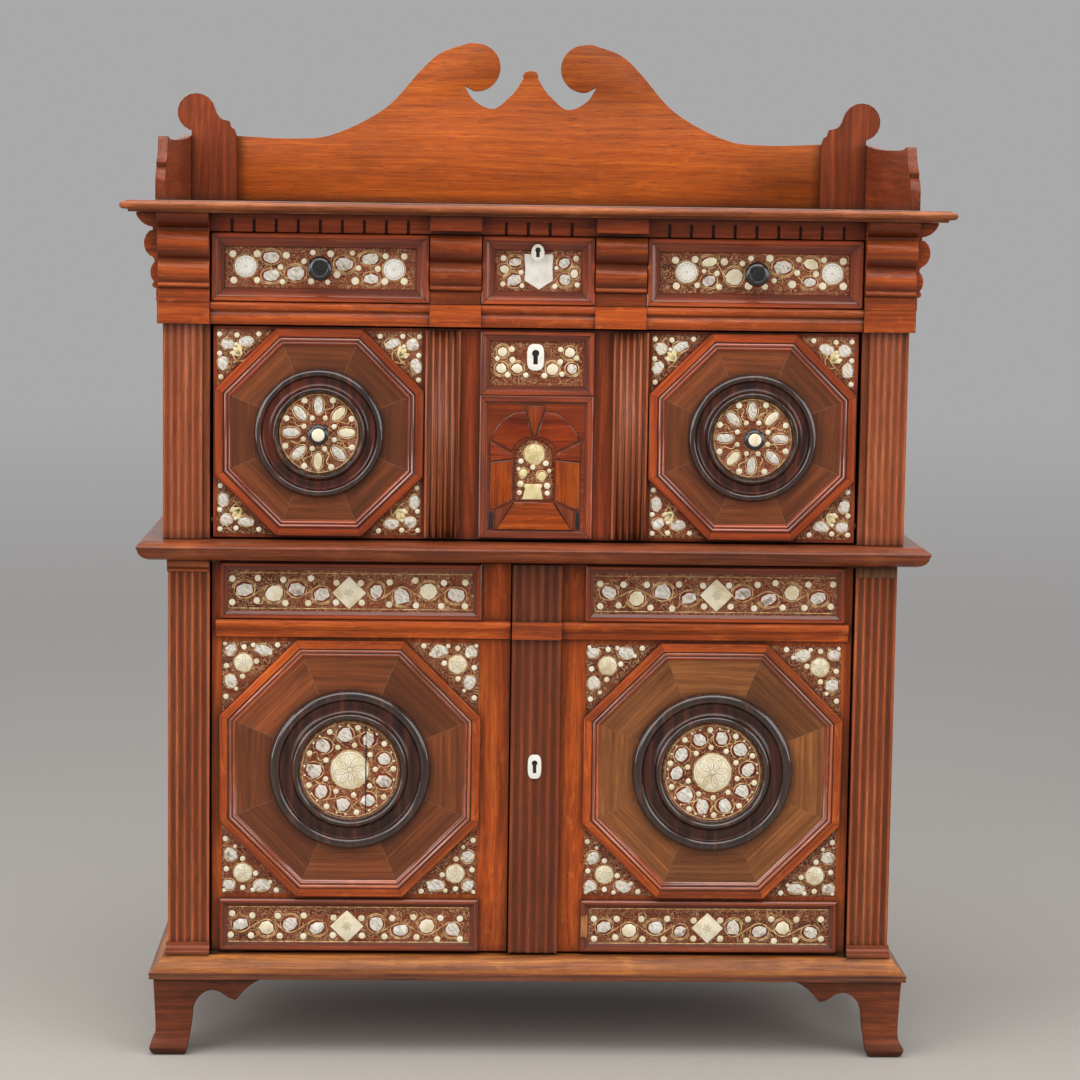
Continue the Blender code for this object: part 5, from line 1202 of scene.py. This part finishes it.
# spandrels: a fan of leaves in those of the fall, a rosette in those of the doors
spandrels = {
    "fall": {"rounds": ("fallLeft", "fallRight"), "half": .154, "inset": 2.6, "leg": 84, "back": -.2132, "kind": "fan"},
    "left_door": {"rounds": ("left",), "half": .195, "inset": 2.8, "leg": 108, "back": -.2062, "kind": "rose"},
    "right_door": {"rounds": ("right",), "half": .195, "inset": 2.8, "leg": 108, "back": -.2062, "kind": "rose"},
}
bits = {
    "fan": {"span": 76, "gems": ((13, 18, 7.5, 7), (39, 16, 10, 6), (9, 45, 6.5, 9)),
            "dots": ((4, 6, 3.4), (26, 7, 3.4), (56, 6, 3.4), (4, 32, 3.4), (5, 64, 3.4), (22, 33, 3.0), (25, 20, 2.6)),
            "at": (31, 33), "leaf": (8.8, 3.7), "leafAt": 6.5, "leafTurn": .62, "edge": .0105},
    "rose": {"span": 104, "gems": ((11, 13, 8, 7.5), (58, 13, 11.5, 7.5), (13, 57, 8.5, 9)),
             "dots": ((31, 8, 3.6), (45, 5, 3), (80, 5, 3.6), (7, 36, 3.6), (50, 29, 3.6), (6, 80, 3.6), (30, 52, 3.6),
                      (4, 4, 2.6), (70, 17, 2.8), (20, 70, 2.6)),
             "at": (31, 31), "flower": .0134}}
corners = {"plate": (.0008, .0002), "lift": .0007, "swell": 1.14, "dotGrow": 1.15, "gap": 2, "turn": .4,
           "wobble": 1.2, "dotWobble": .6, "sways": ((22, 44), (4, 20))}


def wobble(share=1):
    return rng.uniform(-corners["wobble"], corners["wobble"]) * share


def fillCorner(body, plan, centre, sx, sz):
    corner, leg, y = plan["half"] - plan["inset"] * mm, plan["leg"] * mm, plan["back"] - corners["lift"]
    ox, oz = centre[0] + sx * corner, centre[1] + sz * corner
    some = bits[plan["kind"]]
    grow = plan["leg"] / some["span"] * mm
    swell = grow * corners["swell"]  # gems fill their seats
    inside = lambda u, v: (ox - sx * u * grow, oz - sz * v * grow)
    plate = cutPlate([(ox, oz), (ox - sx * leg, oz), (ox, oz - sz * leg)], plan["back"], *corners["plate"])
    for u, v, wide, tall in some["gems"]:
        place = inside(u + wobble(), v + wobble())
        shape = rng.choice(pearlShapes)
        gap, turn = corners["gap"], corners["turn"]
        stamp(body, "pearl", shape, y, place, wide * swell, tall * swell, rng.uniform(-turn, turn))
        loop(body, y, place, (wide + gap) * mm, (tall + gap) * mm, rng.uniform(0, 360), 300)
    for u, v, r in some["dots"]:
        share = corners["dotWobble"]
        place = inside(u + wobble(share), v + wobble(share))
        stamp(body, "bone", dotShape, y, place, r * corners["dotGrow"] * mm)
    place = inside(*some["at"])
    if plan["kind"] == "fan":
        wide, tall = (v * mm for v in some["leaf"])
        for k in (-1, 0, 1):  # a small fan of three bone leaves
            a = math.atan2(-sz, -sx) + math.pi + k * some["leafTurn"]
            stamp(body, "gold", petalShape, y, polar(*place, some["leafAt"] * mm, a), wide, tall, -a)
        loop(body, y, place, some["edge"], some["edge"], rng.uniform(0, 90), 260)
    else:
        flower(body, y, place, some["flower"], 5)
    for u, v in corners["sways"]:
        sway(body, y, inside(u, v), inside(v, u), 8)
    return plate


for body, plan in spandrels.items():
    plates = [fillCorner(body, plan, roundAt[f], sx, sz) for f in plan["rounds"] for sx in (-1, 1) for sz in (-1, 1)]
    joinUp(plates, body + "_spandrels", body, ground, 30)

niche = {"y": -.2169, "soft": .0005, "flower": (-2, 912.5, 14.6), "discs": ((-18.5, 884, 6.4), (9, 880, 6.8)),
         "dots": ((-22.5, 868, 4.2), (17.5, 865.5, 4.2), (-24, 855, 3.4), (18, 854.5, 3.4), (-22, 902, 3.4),
                  (15, 899, 3.8), (-4.3, 893, 3.4), (-25.5, 890, 2.6), (20, 888, 2.6)),
         "pot": ((-16, 868), (9, 868), (10, 864), (8, 861), (11.5, 845), (-19.5, 845), (-15.5, 861), (-17.5, 864))}
x, z, r = niche["flower"]
flower("fall", niche["y"], (x * mm, z * mm), r * mm, 5, "gold")
for x, z, r in niche["discs"]:
    stamp("fall", "gold", boneShapes[2], niche["y"], (x * mm, z * mm), r * mm)
    loop("fall", niche["y"], (x * mm, z * mm), (r + 1.5) * mm, (r + 1.5) * mm, 0, 300)
dots("fall", niche["y"], (0, 0), niche["dots"])
pot = cutPlate(toScale(niche["pot"]), niche["y"] + plaque["sunk"], plaque["thick"], niche["soft"])
work["fall"]["gold"].append(pot)

# long panels of the doors: a diamond, gems and two rows of dots
doorPanel = {"y": -.2083, "grow": 1.12, "soft": .0004, "dot": 4.2, "flower": 8.5, "petals": 6, "edge": (.181, .0268),
             "gap": 2.2, "curl": 5.5, "curlAt": 15, "curlTurn": (-130, 260),
             "diamond": ((0, 1.02), (.55, .50), (1.04, 0), (.52, -.54), (0, -1.02), (-.54, -.5), (-1.04, 0),
                         (-.52, .52))}
doorPanels = (
    {"body": "left_door", "centre": (-.273, .7033), "diamond": (-3, -2.5, 21.5),
     "gems": ((-159, 1, 13, 10.5), (-114.5, -4, 13, 11.5, "b"), (-81, 2.5, 12, 11), (-44, -5, 12, 10.5),
              (37.5, 0, 10, 11), (75.5, -7, 11.5, 12), (115.5, 1, 12.5, 12, "b"), (156.5, -4.5, 14, 10)),
     "dots": ((-177, 17.5), (-139, 18.5), (-101, 16.5), (-60, 19), (-22, 12.5), (14.5, 12.5), (57.5, 14), (95.5, 17),
              (138.5, 14), (170.5, 14.5), (-177, -18), (-140.5, -15), (-98, -18.5), (-64, -18.5), (-22.5, -17),
              (16, -17), (57, -19.5), (97, -20.5), (134.5, -21), (170, -21))},
    {"body": "left_door", "centre": (-.273, .1948), "diamond": (-3, -2.5, 21.5),
     "gems": ((-163.5, 0, 11.5, 9.5), (-124, -5.5, 11, 10.5, "b"), (-88.5, 1, 12, 11),
              (-48, -5, 12, 9.5), (41, 1, 11, 11), (78, -8.5, 12.5, 8.5), (118, -2, 11, 11, "b"),
              (157.5, -7, 11, 10)),
     "dots": ((-176, 16.5), (-145.5, 13.5), (-107, 13), (-68, 13.5), (-23, 10.5), (19, 10), (65.5, 10), (97.5, 12),
              (138.5, 11), (168, 10), (-178, -16.5), (-147.5, -17.5), (-104, -18), (-68.5, -18.5), (-24, -16.5),
              (20, -17), (54, -18), (102.5, -19), (134, -22), (168.5, -21.5))},
    {"body": "right_door", "centre": (.273, .7033), "diamond": (1.5, -1, 21.5),
     "gems": ((-160.5, 2, 12, 9), (-118.5, -7, 11, 11, "b"), (-79, 3, 12.5, 11), (-40, -5.5, 11.5, 9),
              (41, 2, 12.5, 10), (80, -6, 13, 9), (115, 4, 11, 11, "b"), (154.5, -3.5, 12.5, 9.5)),
     "dots": ((-173.5, 15), (-138.5, 14), (-103.5, 14), (-55, 15), (-19, 13.5), (20, 14), (63, 15.5), (90, 18.5),
              (139.5, 16.5), (177, 17), (-173, -19), (-145.5, -17.5), (-97.5, -20.5), (-65, -21.5), (-17, -18),
              (23, -18), (58.5, -20), (101.5, -18.5), (134.5, -18.5), (174, -16.5))},
    {"body": "right_door", "centre": (.273, .1948), "diamond": (-2, -2.5, 20.5),
     "gems": ((-159.5, -1.5, 11, 9.5), (-121, -7, 10.5, 10.5, "b"), (-81, -2.5, 12, 9.5),
              (-43, -7.5, 9.5, 9), (37.5, -2, 10, 11), (77.5, -7, 11.5, 9.5), (113, -2, 10.5, 10.5, "b"),
              (155, -8.5, 11.5, 8.8)),
     "dots": ((-175, 11), (-140, 11), (-102.5, 11), (-63.5, 11.5), (-23, 9), (17.5, 9.5), (60, 11.5), (95, 12),
              (133.5, 11.5), (171, 12), (-174, -20), (-142, -17.5), (-100.5, -20), (-68, -20), (-23, -19), (18, -19),
              (58, -21.5), (100, -22), (132.5, -20.5), (172, -18.5))},
)
for panel in doorPanels:
    body, y, centre = panel["body"], doorPanel["y"], panel["centre"]
    x, z, r = panel["diamond"]
    r *= doorPanel["grow"]
    outline = toScale([(x + dx * r, z + dz * r) for dx, dz in doorPanel["diamond"]], centre)
    work[body]["bone"].append(cutPlate(outline, y + plaque["sunk"], plaque["thick"], doorPanel["soft"]))
    cutFlower(body, y, at(centre, x, z), doorPanel["flower"] * mm, doorPanel["petals"])
    gems(body, y, centre, panel["gems"])
    dots(body, y, centre, panel["dots"], doorPanel["dot"])
    row = sorted(panel["gems"])
    for i, (a, b) in enumerate(zip(row, row[1:])):
        up = 1 if i % 2 else -1
        if not a[0] < x < b[0]:
            gap, curl = doorPanel["gap"], doorPanel["curl"] * mm
            sway(body, y, at(centre, a[0], a[1] + up * (a[3] + gap)), at(centre, b[0], b[1] - up * (b[3] + gap)))
            place = at(centre, (a[0] + b[0]) / 2, up * doorPanel["curlAt"])
            start, sweep = doorPanel["curlTurn"]
            loop(body, y, place, curl, curl, 90 * up + start, sweep, 10)
    wide, tall = doorPanel["edge"]
    for edge in (-tall, tall):  # a thin line of wire along the field
        lay(body, y, [(centre[0] + end, centre[1] + edge) for end in (-wide, wide)])

# great discs of the doors: round field, count of pearls, tilt
doorDisc = {"y": -.2180, "discs": {"left_door": ("left", 9, .35), "right_door": ("right", 10, .08)},
            "at": 54, "size": (11.6, 10.6), "seat": .0024, "curl": .0026, "roundel": .0282, "petals": 8,
            "dots": ((38.5, 4.1), (65.5, 4.4)), "stem": (42, 20, .09), "smallAt": (68, .10), "small": 1.7,
            "edge": .0718, "uneven": .05, "sizes": (.88, 1.1), "turn": .4}
for body, (field, count, tilt) in doorDisc["discs"].items():
    centre, y = roundAt[field], doorDisc["y"]
    flower(body, y, centre, doorDisc["roundel"], doorDisc["petals"])
    for i in range(count):
        a = math.tau * i / count + tilt + rng.uniform(-doorDisc["uneven"], doorDisc["uneven"])
        place = polar(*centre, doorDisc["at"] * mm, a)
        wide, tall = (v * rng.uniform(*doorDisc["sizes"]) * mm for v in doorDisc["size"])
        shape, lean = rng.choice(pearlShapes), rng.uniform(-doorDisc["turn"], doorDisc["turn"])
        stamp(body, "pearl", shape, y, place, wide, tall, -a + lean)
        stamp(body, "seat", seatShape, y, place, wide + doorDisc["seat"], tall + doorDisc["seat"], -a)
        loop(body, y, place, wide + doorDisc["curl"], tall + doorDisc["curl"], rng.uniform(0, 360), 310)
        between(body, centre, doorDisc, a + math.pi / count)
        reach, turn = doorDisc["smallAt"]
        for side in (-turn, turn):
            stamp(body, "bone", dotShape, y, polar(*centre, reach * mm, a + side), doorDisc["small"] * mm)
    loop(body, y, centre, doorDisc["edge"], doorDisc["edge"], 0, 360, 56)

# bits are joined by material
for body, laid in work.items():
    piece = drawWires(body + "_wire", laid["wire"], thickness["wire"])
    finishPiece(piece, body + "_wire", body, [wire], 50)
    if laid["cut"]:
        piece = drawWires(body + "_cuts", laid["cut"], thickness["cut"])
        finishPiece(piece, body + "_cuts", body, [wax], 50)
    for kind, (material, slot) in kinds.items():
        if laid[kind]:
            joinUp(laid[kind], f"{body}_{kind}", body, material, 40)
            print(body, kind, "bits", len(laid[kind]))
for shape in drawn:
    bpy.data.objects.remove(shape)

# the shrinkage crack in the left disc, and the bare wood where a capital came away
crack = {"centre": (-.2488, .4341), "back": -.2178, "thick": .0018, "soft": .0001,
         "outline": ((-1.0, 68), (.7, 68), (1.1, 40), (.9, 8), (1.3, -22), (.8, -66), (-.9, -66), (-.6, -30), (-.9, 4),
                     (-.5, 36))}
scar = {"back": -.2160, "thick": .0009, "soft": .0003,
        "outline": ((.4838, .7322), (.5446, .7318), (.5446, .7496), (.5200, .7500), (.4836, .7498), (.4842, .7410))}
piece = cutPlate(toScale(crack["outline"], crack["centre"]), crack["back"], crack["thick"], crack["soft"])
finishPiece(piece, "left_disc_crack", "left_door", [ebony], 30)
piece = cutPlate(scar["outline"], scar["back"], scar["thick"], scar["soft"])
finishPiece(piece, "lost_capital_scar", "case", [wood("scarOak", "z", 14)], 30)
print("inlay laid")
